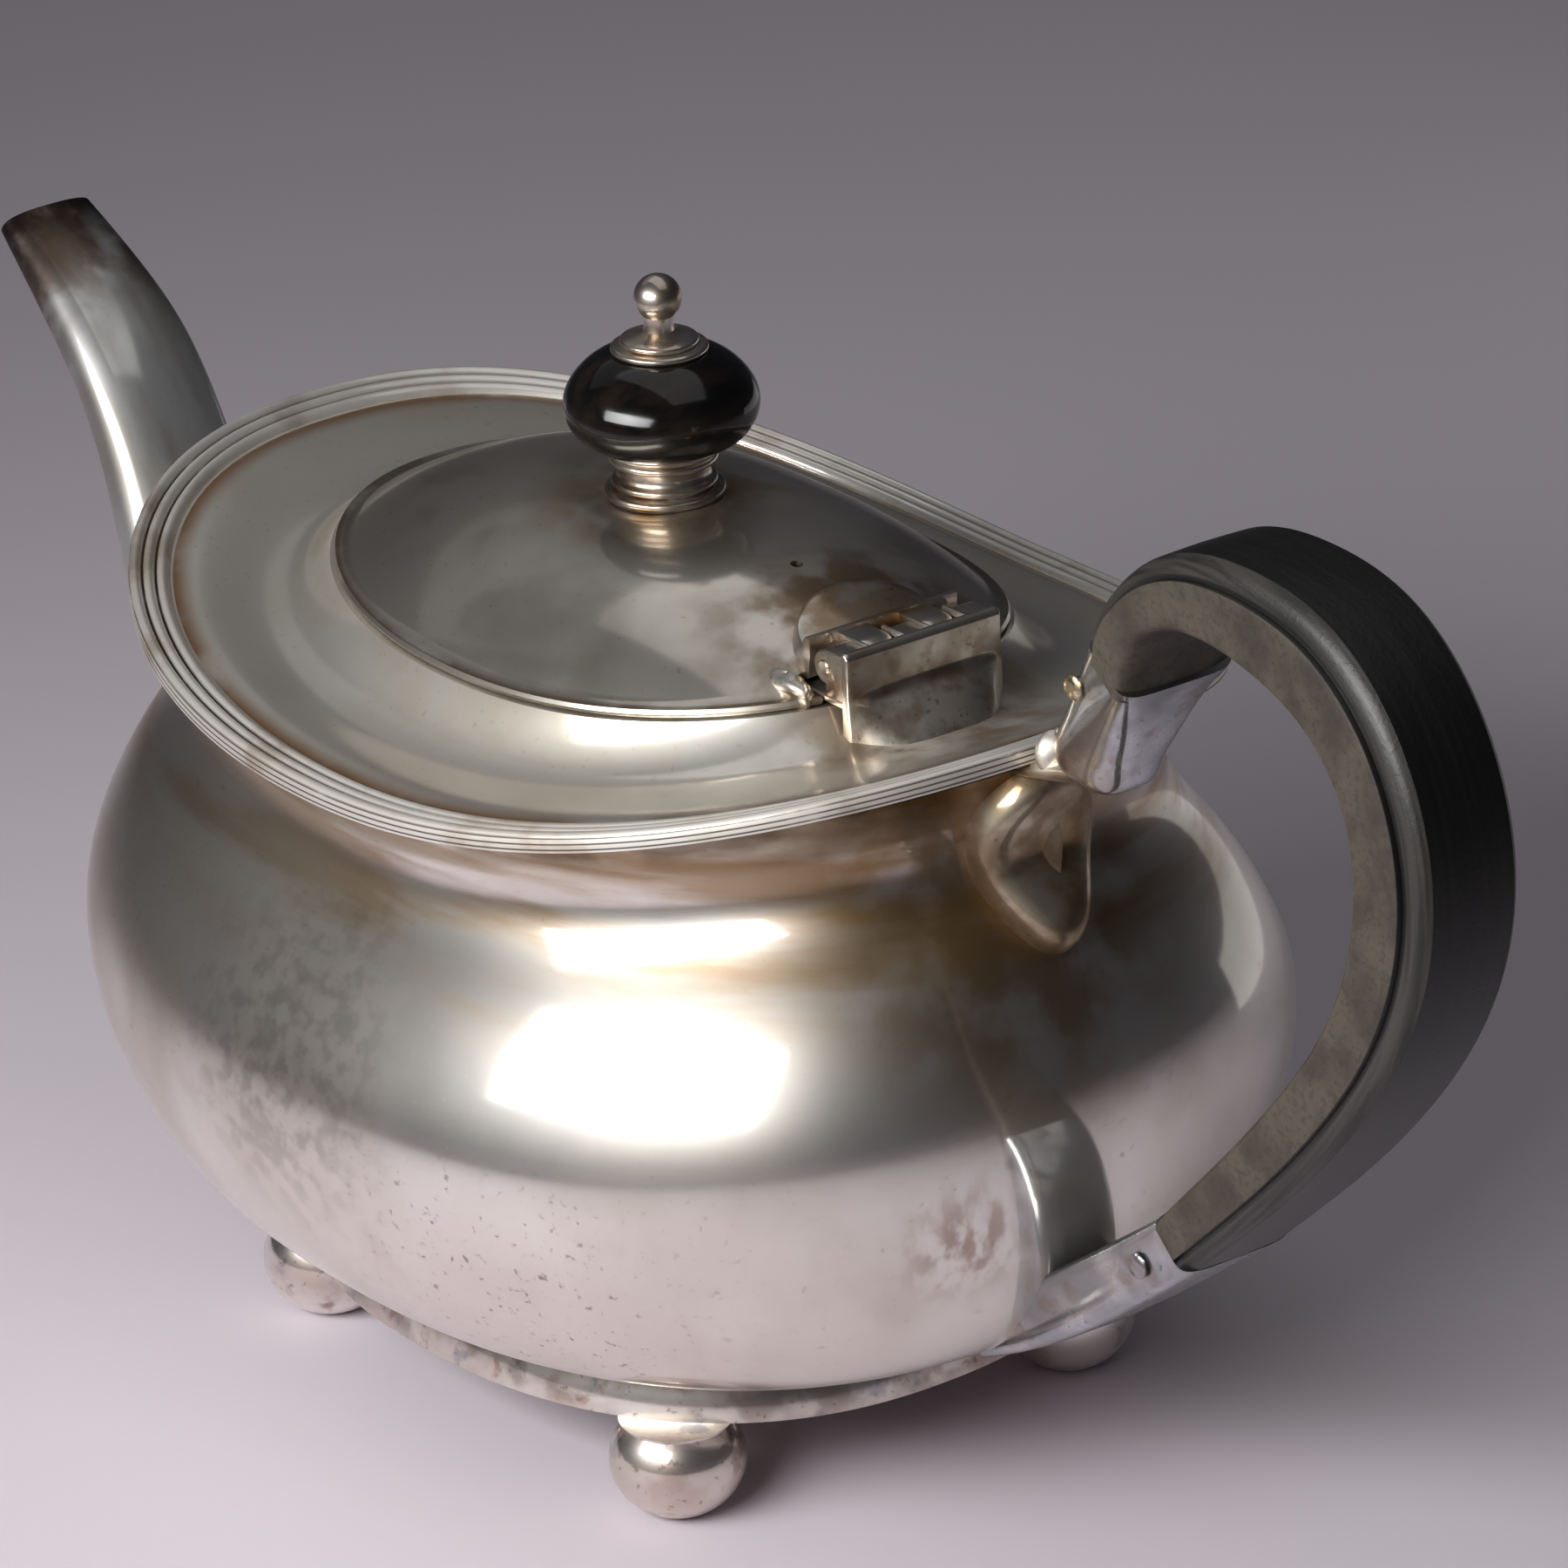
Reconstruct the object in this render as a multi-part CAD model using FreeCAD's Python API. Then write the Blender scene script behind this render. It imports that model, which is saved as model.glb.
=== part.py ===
import FreeCAD, Part
import math
import os
from FreeCAD import Vector

# Silver teapot in millimetres: table at Z = 0, handle towards +X, spout towards -X

# Oval of the top border, whose two ends rise above its sides
rim_half_length = 72.0
rim_half_width = 53.6
rim_height = 87.6
rim_end_rise = 12.7
oval_power = 2.3
oval_points = 48

# Belly and neck: half length, half width and height of each level
base_level = (47.0, 39.2, 21.7)
low_belly_level = (73.8, 58.0, 33.8)
belly_level = (78.9, 60.7, 50.8)
shoulder_level = (72.6, 54.1, 64.3)
neck_inset = 7.0
neck_drop = 11.3
lip_inset = 1.8
lip_drop = 2.2
neck_level = (rim_half_length - neck_inset, rim_half_width - neck_inset, rim_height - neck_drop)
lip_level = (rim_half_length - lip_inset, rim_half_width - lip_inset, rim_height - lip_drop)
body_wall = 0.9
body_rise_power = 1.2
body_rows = 11
solder_film = 0.03

# Bottom sheet, collar and ball feet
base_sheet = 1.0
collar_height = 9.8
collar_flare = 1.6
collar_waist = 0.3
collar_wall = 1.0
foot_end_inset = 12.0
foot_side_inset = 10.4
foot_x = base_level[0] - foot_end_inset
foot_y = base_level[1] - foot_side_inset
foot_radius = 8.0
foot_neck_radius = 6.2
foot_neck_height = 0.6
foot_flat_radius = 2.6
foot_steps = 8

# Reeded border
rim_width = 4.6
rim_band = 1.7
rim_reeds = 3
reed_height = 0.7
reed_steps = 4

# Deck between border and lid, with a cove up to the lid
deck_sheet = 0.9
deck_groove = 0.6
cove_end_width = 5.0
cove_side_width = 3.3
cove_height = 5.0
cove_turn = 0.42
ledge_margin = 0.4
seat_depth = 2.6
seat_wall = 0.8

# Lid
lid_half_length = 45.9
lid_half_width = 32.8
lid_power = 2.2
lid_lift = 8.2
lid_height = rim_height + lid_lift
lid_end_rise = 9.4
lid_dome_rise = 12.2
lid_dome_power = 2.7
lid_flat = 1.6
lid_ring_shares = (0.88, 0.76, 0.6, 0.42, 0.25, 0.12)
lid_sheet = 0.9
lid_overlap = 1.6
lid_gap = 0.3
flange_depth = 3.0
flange_wall = 0.8
flange_clearance = 0.6
vent_inset = 21.0
vent_x = lid_half_length - vent_inset
vent_radius = 0.7

# Knob, bottom to top
stem_radius = 1.5
stem_clearance = 0.1
pedestal_foot_radius = 7.1
pedestal_waist_radius = 5.4
pedestal_top_radius = 6.8
pedestal_band = 1.1
pedestal_height = 6.4
bun_radius = 11.4
bun_lower = 4.8
bun_upper = 6.2
bun_seat_radius = 6.2
bun_low_bulge = (10.6, 2.2)
bun_high_bulge = (10.0, 3.4)
washer_radius = 5.7
washer_sheet = 0.9
finial_collar_radius = 4.6
finial_collar_height = 1.6
finial_neck_radius = 1.7
finial_ball_radius = 2.8
finial_neck_height = 1.2
nut_radius = 4.2
nut_sides = 6
nut_height = 2.6
stem_tail = 1.0

# Stand-up hinge
hinge_inset = 1.9
hinge_lift = 7.0
hinge_x = lid_half_length - hinge_inset
hinge_z = lid_height + hinge_lift
hinge_length = 21.6
hinge_knuckles = 5
hinge_half_width = 4.3
hinge_crown = 2.6
hinge_crown_half_width = 3.7
hinge_shoulder = 2.0
hinge_barrel = 2.5
hinge_pin_radius = 0.9
hinge_pin_clearance = 0.05
hinge_pin_proud = 0.3
hinge_knuckle_gap = 0.15
hinge_plate_drop = 4.1
hinge_plate_height = hinge_z - hinge_plate_drop
hinge_plate = 0.8
hinge_skirt = 3.0
hinge_tongue_length = 8.0
hinge_tongue_sheet = 0.8
hinge_notch_gap = 0.6

# Places in the middle plane that the spout, handle and bracket are measured from
spout_end = (-belly_level[0], belly_level[2])
rim_end = (rim_half_length, rim_height + rim_end_rise)
handle_root = (low_belly_level[0], low_belly_level[2])

# Spout: back point, front point and half width of each section, from the spout end of the belly
spout_sections = (
    ((8.9, 17.6), (5.9, -14.0), 13.0),
    ((-5.1, 19.0), (-9.1, -4.8), 11.8),
    ((-16.7, 24.5), (-23.7, 13.2), 10.0),
    ((-22.5, 34.0), (-30.1, 29.0), 8.8),
    ((-30.9, 46.2), (-37.5, 40.2), 8.2),
    ((-40.9, 53.8), (-45.3, 47.2), 7.2),
    ((-49.5, 58.0), (-52.5, 54.0), 6.4),
)
spout_power = 2.6
spout_points = 32
spout_wall = 0.8
strainer_hole_radius = 1.6
strainer_pitch = 5.2
strainer_rows = 5
strainer_lift = 5.0
strainer_depth = 30.0

# Handle: inner point and outer point of each section, top to bottom
# The upper ones are measured from the rim end, the lower ones from the low belly
grip_upper_sections = (
    ((21.0, 12.0), (14.2, 17.4)),
    ((22.6, 18.1), (15.2, 21.1)),
    ((29.2, 22.9), (24.4, 30.1)),
    ((39.8, 22.6), (40.6, 33.7)),
    ((49.2, 19.3), (54.8, 30.5)),
    ((55.6, 13.3), (65.4, 20.1)),
    ((58.2, 4.1), (69.8, 5.9)),
)
grip_lower_sections = (
    ((54.0, 57.6), (65.0, 56.0)),
    ((45.6, 44.0), (54.2, 39.2)),
    ((33.8, 30.6), (40.2, 24.6)),
    ((22.6, 19.0), (28.2, 13.8)),
)
grip_half_width = 8.0
grip_outer_half_width = 5.6
grip_bead_share = 0.3
grip_groove = 0.6
grip_inner_round = 1.2
grip_bead_swell = 0.7
tenon_length = 7.5
tenon_inset = 1.4
tenon_clearance = 0.1

# Sockets: back point, front point and half width below the mouth, from the same two places
upper_socket_sections = (
    ((9.2, 7.1), (19.2, 5.9), 7.0),
    ((7.4, 2.1), (17.6, 1.3), 5.4),
    ((8.2, 0.7), (16.4, 0.1), 4.4),
)
lower_socket_sections = (
    ((9.6, 9.6), (14.6, 3.6), 6.6),
    ((-4.4, 0.2), (-0.4, -6.6), 5.4),
    ((-17.8, -7.8), (-14.8, -14.0), 4.4),
)
socket_power = 4.5
socket_points = 32
pin_radius = 1.0
pin_clearance = 0.05
pin_head_radius = 1.6
pin_head_height = 0.5
upper_pin = (13.8, 10.3)
lower_pin = (20.2, 12.2)

# Drop-shaped bracket and the shelf from it to the socket
# X, lowest and top height from the rim end, and half width of each section
bracket_sections = (
    (-14.0, -24.9, -3.3, 8.8),
    (1.0, -24.9, -2.6, 8.6),
    (5.4, -21.0, -4.2, 7.0),
    (7.0, -17.5, -7.5, 4.6),
)
shelf_sections = (
    (-4.0, -4.0, 0.4, 5.2),
    (5.0, -3.4, 0.8, 5.0),
    (12.5, -1.8, 1.1, 4.2),
)
bracket_points = 28
bracket_drop = 0.25


# Shared shapes

# A point of the middle plane, given from one of the measuring places
def from_place(place, point):
    return place[0] + point[0], place[1] + point[1]


def placed(place, sections):
    return [(from_place(place, back), from_place(place, front), *rest) for back, front, *rest in sections]


def closed_wire(points):
    curve = Part.BSplineCurve()
    curve.interpolate(points, True)
    return Part.Wire([curve.toShape()])


# A closed oval at one height, with its two X ends lifted along a parabola
def oval_wire(half_length, half_width, height, end_rise=0.0, power=oval_power):
    points = []
    for step in range(oval_points):
        angle = 2 * math.pi * step / oval_points
        along = abs(math.cos(angle) / half_length) ** power
        across = abs(math.sin(angle) / half_width) ** power
        radius = (along + across) ** (-1 / power)
        x = radius * math.cos(angle)
        y = radius * math.sin(angle)
        points.append(Vector(x, y, height + end_rise * (x / rim_half_length) ** 2))
    return closed_wire(points)


# A smooth skin through wires, or a straight one between two
def skin(wires):
    if len(wires) == 2:
        return [Part.makeRuledSurface(wires[0].Edges[0], wires[1].Edges[0])]
    return Part.makeLoft(wires, False, False).Faces


def solid_of(faces):
    shell = Part.makeShell(faces)
    shell.sewShape()
    solid = Part.Solid(Part.Shell(shell.Faces))
    if solid.Volume < 0:
        solid.reverse()
    return solid


# A ring of sheet: each stretch is one smooth skin, and the last one meets the first
def ring_solid(stretches):
    faces = []
    for wires in stretches:
        faces.extend(skin(wires))
    return solid_of(faces)


# A ring of sheet from its upper wires, with the underside straight below
def sheet_ring(ring_values, thickness, corners=()):
    upper = [oval_wire(*value) for value in ring_values]
    lower = [oval_wire(value[0], value[1], value[2] - thickness, *value[3:]) for value in ring_values]
    stretches = [[upper[0], lower[0]], [upper[-1], lower[-1]]]
    breaks = [0, *corners, len(upper) - 1]
    for first, last in zip(breaks, breaks[1:]):
        stretches.append(upper[first:last + 1])
        stretches.append(lower[first:last + 1])
    return ring_solid(stretches)


def capped_loft(wires):
    return solid_of(skin(wires) + [Part.Face(wires[0]), Part.Face(wires[-1])])


# A flat rounded section between a back and a front point of the middle plane
def cross_section(back, front, half_width, power, count):
    middle = Vector((back[0] + front[0]) / 2, 0, (back[1] + front[1]) / 2)
    depth = Vector((front[0] - back[0]) / 2, 0, (front[1] - back[1]) / 2)
    points = []
    for step in range(count):
        angle = 2 * math.pi * step / count
        swell = (abs(math.cos(angle)) ** power + abs(math.sin(angle)) ** power) ** (-1 / power)
        side = Vector(0, half_width * swell * math.sin(angle), 0)
        points.append(middle + depth * (swell * math.cos(angle)) + side)
    return closed_wire(points)


def inset_section(section, inset):
    back = Vector(section[0][0], 0, section[0][1])
    front = Vector(section[1][0], 0, section[1][1])
    step = (front - back).normalize() * inset
    back = back + step
    front = front - step
    return (back.x, back.z), (front.x, front.z), section[2] - inset


def bar(start, end, radius):
    axis = end - start
    return Part.makeCylinder(radius, axis.Length, start, axis)


# A piece turned about the Z axis from (radius, height) corners
def turned(corners):
    points = [Vector(radius, 0, height) for radius, height in corners]
    outline = Part.makePolygon(points + [points[0]])
    return Part.Face(outline).revolve(Vector(0, 0, 0), Vector(0, 0, 1), 360)


# Pot body

def body_lift(height):
    share = (height - base_level[2]) / (rim_height - base_level[2])
    return rim_end_rise * max(0.0, share) ** body_rise_power


# Rings of the body skin, set in square to the wall and level at its two edges
def body_wires(inset):
    levels = (base_level, low_belly_level, belly_level, shoulder_level, neck_level, lip_level)
    profile = Part.BSplineCurve()
    profile.interpolate([Vector(*level) for level in levels])
    first, last = profile.FirstParameter, profile.LastParameter
    wires = []
    for row in range(body_rows):
        place = first + (last - first) * row / (body_rows - 1)
        level = profile.value(place)
        slope = profile.tangent(place)[0]
        steep = math.hypot(slope.x, slope.z)
        inward, upward = inset * slope.z / steep, inset * slope.x / steep
        if row in (0, body_rows - 1):
            inward, upward = inset, 0.0
        wires.append(oval_wire(level.x - inward, level.y - inward, level.z + upward, body_lift(level.z)))
    return wires


# The body filled in, for seating what is soldered to its outside
def body_block():
    wires = body_wires(-solder_film)
    top = oval_wire(lip_level[0], lip_level[1], rim_height + rim_end_rise)
    return solid_of(skin(wires) + skin([wires[-1], top]) + [Part.Face(wires[0]), Part.Face(top)])


def strainer_drills():
    drills = []
    for row in range(strainer_rows):
        offset = row - (strainer_rows - 1) // 2
        count = strainer_rows - abs(offset)
        height = belly_level[2] + strainer_lift + offset * strainer_pitch * math.sin(math.pi / 3)
        for place in range(count):
            y = (place - (count - 1) / 2) * strainer_pitch
            start = Vector(-belly_level[0] - body_wall, y, height)
            drills.append(bar(start, start + Vector(strainer_depth, 0, 0), strainer_hole_radius))
    return drills


def body_shell():
    outer = body_wires(0.0)
    inner = body_wires(body_wall)
    shell = ring_solid([outer, [outer[-1], inner[-1]], inner, [inner[0], outer[0]]])
    return shell.cut(strainer_drills())


def collar_wires(inset):
    wires = []
    for row, flare in enumerate((0.0, collar_waist, collar_flare)):
        spread = flare - inset
        height = base_level[2] - solder_film - collar_height * row / 2
        wires.append(oval_wire(base_level[0] + spread, base_level[1] + spread, height))
    return wires


def foot_collar():
    outer = collar_wires(0.0)
    inner = collar_wires(collar_wall)
    return ring_solid([outer, [outer[-1], inner[-1]], inner, [inner[0], outer[0]]])


def body_base():
    spread = collar_wall + solder_film
    outline = oval_wire(base_level[0] - spread, base_level[1] - spread, base_level[2] - solder_film)
    return Part.Face(outline).extrude(Vector(0, 0, -base_sheet))


# A flattened ball with a flat to stand on and a short neck under the collar
def ball_foot(x, y):
    top = base_level[2] - solder_film - collar_height
    low_angle = -math.acos(foot_flat_radius / foot_radius)
    high_angle = math.acos(foot_neck_radius / foot_radius)
    height = (top - foot_neck_height) / (math.sin(high_angle) - math.sin(low_angle))
    middle = -height * math.sin(low_angle)
    points = []
    for step in range(foot_steps + 1):
        angle = low_angle + (high_angle - low_angle) * step / foot_steps
        points.append(Vector(foot_radius * math.cos(angle), 0, middle + height * math.sin(angle)))
    side = Part.BSplineCurve()
    side.interpolate(points)
    corners = [points[-1], Vector(foot_neck_radius, 0, top), Vector(0, 0, top), Vector(0, 0, 0), points[0]]
    outline = Part.Wire([side.toShape(), *Part.makePolygon(corners).Edges])
    foot = Part.Face(outline).revolve(Vector(0, 0, 0), Vector(0, 0, 1), 360)
    foot.translate(Vector(x, y, 0))
    return foot


def rim_wire(inset, height):
    return oval_wire(rim_half_length - inset, rim_half_width - inset, height, rim_end_rise)


def rim_moulding():
    low = lip_level[2] + solder_film
    band = low + rim_band
    stretches = []
    edges = []
    for reed in range(rim_reeds):
        wires = []
        for step in range(reed_steps + 1):
            inset = rim_width * (reed + step / reed_steps) / rim_reeds
            wires.append(rim_wire(inset, band + reed_height * math.sin(math.pi * step / reed_steps)))
        if edges:
            wires[0] = edges[-1]
        else:
            edges.append(wires[0])
        edges.append(wires[-1])
        stretches.append(wires)
    outer, inner = rim_wire(0.0, low), rim_wire(rim_width, low)
    stretches += [[edges[0], outer], [outer, inner], [inner, edges[-1]]]
    return ring_solid(stretches)


def ledge_height():
    return lid_height - lid_sheet - lid_gap


# Deck rings from the border in to the lid opening: sizes, height, end rise, power
def deck_rings():
    outer_inset = rim_width + solder_film
    outer = (rim_half_length - outer_inset, rim_half_width - outer_inset, rim_height - deck_groove,
             rim_end_rise, oval_power)
    ledge = (lid_half_length + ledge_margin, lid_half_width + ledge_margin, ledge_height(),
             lid_end_rise, lid_power)
    cove = (ledge[0] + cove_end_width, ledge[1] + cove_side_width, ledge[2] - cove_height,
            rim_end_rise, lid_power)
    middle = tuple((a + b) / 2 for a, b in zip(outer, cove))
    shares = (cove_turn, cove_turn, 1 - cove_turn, 1 - cove_turn, 0.0)
    turn = tuple(a + (b - a) * share for a, b, share in zip(ledge, cove, shares))
    opening = (lid_half_length - lid_overlap, lid_half_width - lid_overlap, ledge[2], lid_end_rise, lid_power)
    return [outer, middle, cove, turn, ledge, opening]


def shoulder_deck():
    return sheet_ring(deck_rings(), deck_sheet, (2, 4))


def lid_seat():
    opening = deck_rings()[-1]
    top = opening[2] - deck_sheet - solder_film
    outer = (opening[0] + seat_wall, opening[1] + seat_wall, top, lid_end_rise, lid_power)
    inner = (opening[0], opening[1], top, lid_end_rise, lid_power)
    return sheet_ring([outer, inner], seat_depth)


# Lid

def dome_height(share):
    flat_share = 1 - lid_flat / lid_half_length
    inside = min(1.0, share / flat_share)
    return lid_dome_rise * (1 - inside ** lid_dome_power)


# Lid rings from the edge in to the knob's screw hole
def dome_rings():
    hole = stem_radius + stem_clearance
    rings = []
    for share in (1.0, 1 - lid_flat / lid_half_length, *lid_ring_shares):
        height = lid_height + dome_height(share)
        rings.append((lid_half_length * share, lid_half_width * share, height, lid_end_rise, lid_power))
    rings.append((hole, hole, lid_height + lid_dome_rise, 0.0, 2.0))
    return rings


def hinge_notch():
    half = hinge_length / 2 + hinge_notch_gap
    left = hinge_x - hinge_half_width - hinge_notch_gap
    corner = Vector(left, -half, ledge_height() - seat_depth - flange_depth)
    return Part.makeBox(2 * lid_half_length, 2 * half, lid_height, corner)


def lid_dome():
    dome = sheet_ring(dome_rings(), lid_sheet, (1,))
    vent = bar(Vector(vent_x, 0, 0), Vector(vent_x, 0, 2 * lid_height), vent_radius)
    return dome.cut([vent, hinge_notch()])


def lid_flange():
    spread = lid_overlap + flange_clearance
    top = lid_height + dome_height(1 - spread / lid_half_length) - lid_sheet - solder_film
    outer = (lid_half_length - spread, lid_half_width - spread, top, lid_end_rise, lid_power)
    inner = (outer[0] - flange_wall, outer[1] - flange_wall, top, lid_end_rise, lid_power)
    return sheet_ring([outer, inner], flange_depth).cut(hinge_notch())


# The space up to a given height over the lid, less what lies under the lid's face
def over_lid(thickness):
    rings = [(r[0], r[1], r[2] + solder_film + thickness, r[3], r[4]) for r in dome_rings()]
    return sheet_ring(rings, thickness, (1,))


# Knob

def knob_levels():
    seat = lid_height + lid_dome_rise + solder_film
    bun = seat + pedestal_height
    washer = bun + bun_lower + bun_upper
    finial = washer + washer_sheet
    return seat, bun, washer, finial


def stem_hole():
    return bar(Vector(0, 0, 0), Vector(0, 0, 2 * lid_height), stem_radius + stem_clearance)


def knob_pedestal():
    seat, top = knob_levels()[:2]
    waist = (seat + top) / 2
    corners = [(0, seat), (pedestal_foot_radius, seat), (pedestal_foot_radius, seat + pedestal_band),
               (pedestal_waist_radius, waist), (pedestal_top_radius, top - pedestal_band),
               (pedestal_top_radius, top), (0, top)]
    return turned(corners).cut(stem_hole())


def knob_bun():
    low = knob_levels()[1]
    equator = low + bun_lower
    high = equator + bun_upper
    side = Part.BSplineCurve()
    side.interpolate([Vector(bun_seat_radius, 0, low),
                      Vector(bun_low_bulge[0], 0, low + bun_low_bulge[1]),
                      Vector(bun_radius, 0, equator),
                      Vector(bun_high_bulge[0], 0, equator + bun_high_bulge[1]),
                      Vector(washer_radius, 0, high)])
    corners = [Vector(washer_radius, 0, high), Vector(0, 0, high), Vector(0, 0, low),
               Vector(bun_seat_radius, 0, low)]
    outline = Part.Wire([side.toShape(), *Part.makePolygon(corners).Edges])
    bun = Part.Face(outline).revolve(Vector(0, 0, 0), Vector(0, 0, 1), 360)
    return bun.cut(stem_hole())


def knob_washer():
    low = knob_levels()[2]
    disc = Part.makeCylinder(washer_radius, washer_sheet, Vector(0, 0, low))
    return disc.cut(stem_hole())


def knob_finial():
    low = knob_levels()[3]
    shoulder = low + finial_collar_height
    ball_z = shoulder + finial_neck_height + finial_ball_radius
    tail = lid_height + lid_dome_rise - lid_sheet - nut_height - stem_tail
    edge = low + finial_collar_height / 2
    collar = turned([(0, low), (finial_collar_radius, low), (finial_collar_radius, edge),
                     (finial_neck_radius, shoulder), (finial_neck_radius, ball_z), (0, ball_z)])
    ball = Part.makeSphere(finial_ball_radius, Vector(0, 0, ball_z))
    stem = bar(Vector(0, 0, tail), Vector(0, 0, low), stem_radius)
    return collar.fuse([ball, stem]).removeSplitter()


def knob_nut():
    top = lid_height + lid_dome_rise - lid_sheet - solder_film
    corners = []
    for side in range(nut_sides + 1):
        angle = 2 * math.pi * side / nut_sides
        corners.append(Vector(nut_radius * math.cos(angle), nut_radius * math.sin(angle), top))
    block = Part.Face(Part.makePolygon(corners)).extrude(Vector(0, 0, -nut_height))
    return block.cut(stem_hole())


# Hinge

def knuckle_span(index):
    pitch = hinge_length / hinge_knuckles
    start = -hinge_length / 2 + index * pitch
    trim = hinge_knuckle_gap / 2
    return start + trim * (index > 0), start + pitch - trim * (index < hinge_knuckles - 1)


# One knuckle: round on its free side, a box with a sloping shoulder on its own leaf's side
def knuckle(index, side, drop):
    start, end = knuckle_span(index)
    outline = [(0, hinge_crown), (side * hinge_crown_half_width, hinge_crown),
               (side * hinge_half_width, hinge_shoulder), (side * hinge_half_width, -drop), (0, -drop)]
    points = [Vector(hinge_x + x, start, hinge_z + z) for x, z in outline]
    box = Part.Face(Part.makePolygon(points + [points[0]])).extrude(Vector(0, end - start, 0))
    barrel = bar(Vector(hinge_x, start, hinge_z), Vector(hinge_x, end, hinge_z), hinge_barrel)
    return box.fuse(barrel)


def pin_hole(radius):
    reach = Vector(0, hinge_length, 0)
    centre = Vector(hinge_x, 0, hinge_z)
    return bar(centre - reach, centre + reach, radius)


def hinge_body_leaf():
    half = hinge_length / 2
    right = hinge_x + hinge_half_width
    plate = Part.makeBox(2 * hinge_half_width, hinge_length, hinge_plate,
                         Vector(hinge_x - hinge_half_width, -half, hinge_plate_height))
    drop = hinge_z - hinge_plate_height
    wall = Part.makeBox(hinge_plate, hinge_length, hinge_skirt + drop + hinge_shoulder,
                        Vector(right - hinge_plate, -half, hinge_plate_height - hinge_skirt))
    knuckles = [knuckle(index, 1, drop) for index in range(0, hinge_knuckles, 2)]
    leaf = plate.fuse([wall, *knuckles]).removeSplitter()
    under = [(r[0], r[1], r[2] + solder_film, r[3], r[4]) for r in deck_rings()]
    leaf = leaf.cut(sheet_ring(under, hinge_skirt + hinge_plate, (2, 4)))
    return leaf.cut(pin_hole(hinge_pin_radius + hinge_pin_clearance))


def hinge_lid_leaf():
    left = hinge_x - hinge_half_width
    half = hinge_length / 2 - hinge_notch_gap
    centre = Vector(left - hinge_notch_gap, 0, ledge_height())
    plan = Part.makeCylinder(1.0, 2 * lid_dome_rise, Vector(0, 0, 0), Vector(0, 0, 1), 180)
    plan.rotate(Vector(0, 0, 0), Vector(0, 0, 1), 90)
    stretch = FreeCAD.Matrix()
    stretch.scale(hinge_tongue_length, half, 1.0)
    plan = plan.transformGeometry(stretch)
    plan.translate(centre)
    tongue = plan.common(over_lid(hinge_tongue_sheet))
    bridge = Part.makeBox(hinge_notch_gap + hinge_tongue_sheet * 2, 2 * half, hinge_shoulder + hinge_barrel,
                          Vector(left - hinge_notch_gap - hinge_tongue_sheet, -half, hinge_z - hinge_barrel))
    bridge = bridge.cut(lid_block())
    hole = pin_hole(hinge_pin_radius + hinge_pin_clearance)
    knuckles = [knuckle(index, -1, hinge_barrel).cut(hole) for index in range(1, hinge_knuckles, 2)]
    return bridge.fuse([tongue, *knuckles])


# The lid filled in below its face, for seating what is soldered on it
def lid_block():
    rings = [(r[0], r[1], r[2] + solder_film, r[3], r[4]) for r in dome_rings()]
    return sheet_ring(rings, lid_dome_rise, (1,))


def hinge_pin():
    reach = Vector(0, hinge_length / 2 + hinge_pin_proud, 0)
    centre = Vector(hinge_x, 0, hinge_z)
    return bar(centre - reach, centre + reach, hinge_pin_radius)


# Spout

def spout_shell(seat):
    sections = placed(spout_end, spout_sections)
    outer = [cross_section(*section, spout_power, spout_points) for section in sections]
    inner = [cross_section(*inset_section(section, spout_wall), spout_power, spout_points)
             for section in sections]
    tube = ring_solid([outer, [outer[-1], inner[-1]], inner, [inner[0], outer[0]]])
    return tube.cut(seat)


# Handle and its sockets

# One section of the grip: rounded inside, flat sides, a groove and a bead along the outside
def grip_wire(inner, outer):
    start = Vector(inner[0], 0, inner[1])
    depth = Vector(outer[0] - inner[0], 0, outer[1] - inner[1])
    deep = depth.Length
    depth.normalize()

    def point(inward, y):
        return start + depth * inward + Vector(0, y, 0)

    bead = deep * (1 - grip_bead_share)
    side = grip_half_width
    foot = side - grip_groove
    swell = (bead + grip_bead_swell * (deep - bead),
             grip_outer_half_width + grip_bead_swell * (foot - grip_outer_half_width))
    edges = [Part.Arc(point(grip_inner_round, -side), point(0, 0), point(grip_inner_round, side)).toShape(),
             Part.makeLine(point(grip_inner_round, side), point(bead, side)),
             Part.makeLine(point(bead, side), point(bead, foot)),
             Part.Arc(point(bead, foot), point(*swell), point(deep, grip_outer_half_width)).toShape(),
             Part.makeLine(point(deep, grip_outer_half_width), point(deep, -grip_outer_half_width)),
             Part.Arc(point(deep, -grip_outer_half_width), point(swell[0], -swell[1]),
                      point(bead, -foot)).toShape(),
             Part.makeLine(point(bead, -foot), point(bead, -side)),
             Part.makeLine(point(bead, -side), point(grip_inner_round, -side))]
    return Part.Wire(edges)


# A tongue of ebony from a handle end down into its socket
def tenon(mouth, below, spread):
    mouth_in = inset_section((*mouth, grip_half_width), tenon_inset - spread)
    below_in = inset_section(below, tenon_inset - spread)
    start = Vector((mouth_in[0][0] + mouth_in[1][0]) / 2, 0, (mouth_in[0][1] + mouth_in[1][1]) / 2)
    end = Vector((below_in[0][0] + below_in[1][0]) / 2, 0, (below_in[0][1] + below_in[1][1]) / 2)
    share = (tenon_length + spread) / start.distanceToPoint(end)
    back = [a + (b - a) * share for a, b in zip(mouth_in[0], below_in[0])]
    front = [a + (b - a) * share for a, b in zip(mouth_in[1], below_in[1])]
    half = mouth_in[2] + (below_in[2] - mouth_in[2]) * share
    wires = [cross_section(*mouth_in, socket_power, socket_points),
             cross_section(back, front, half, socket_power, socket_points)]
    return capped_loft(wires)


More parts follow.
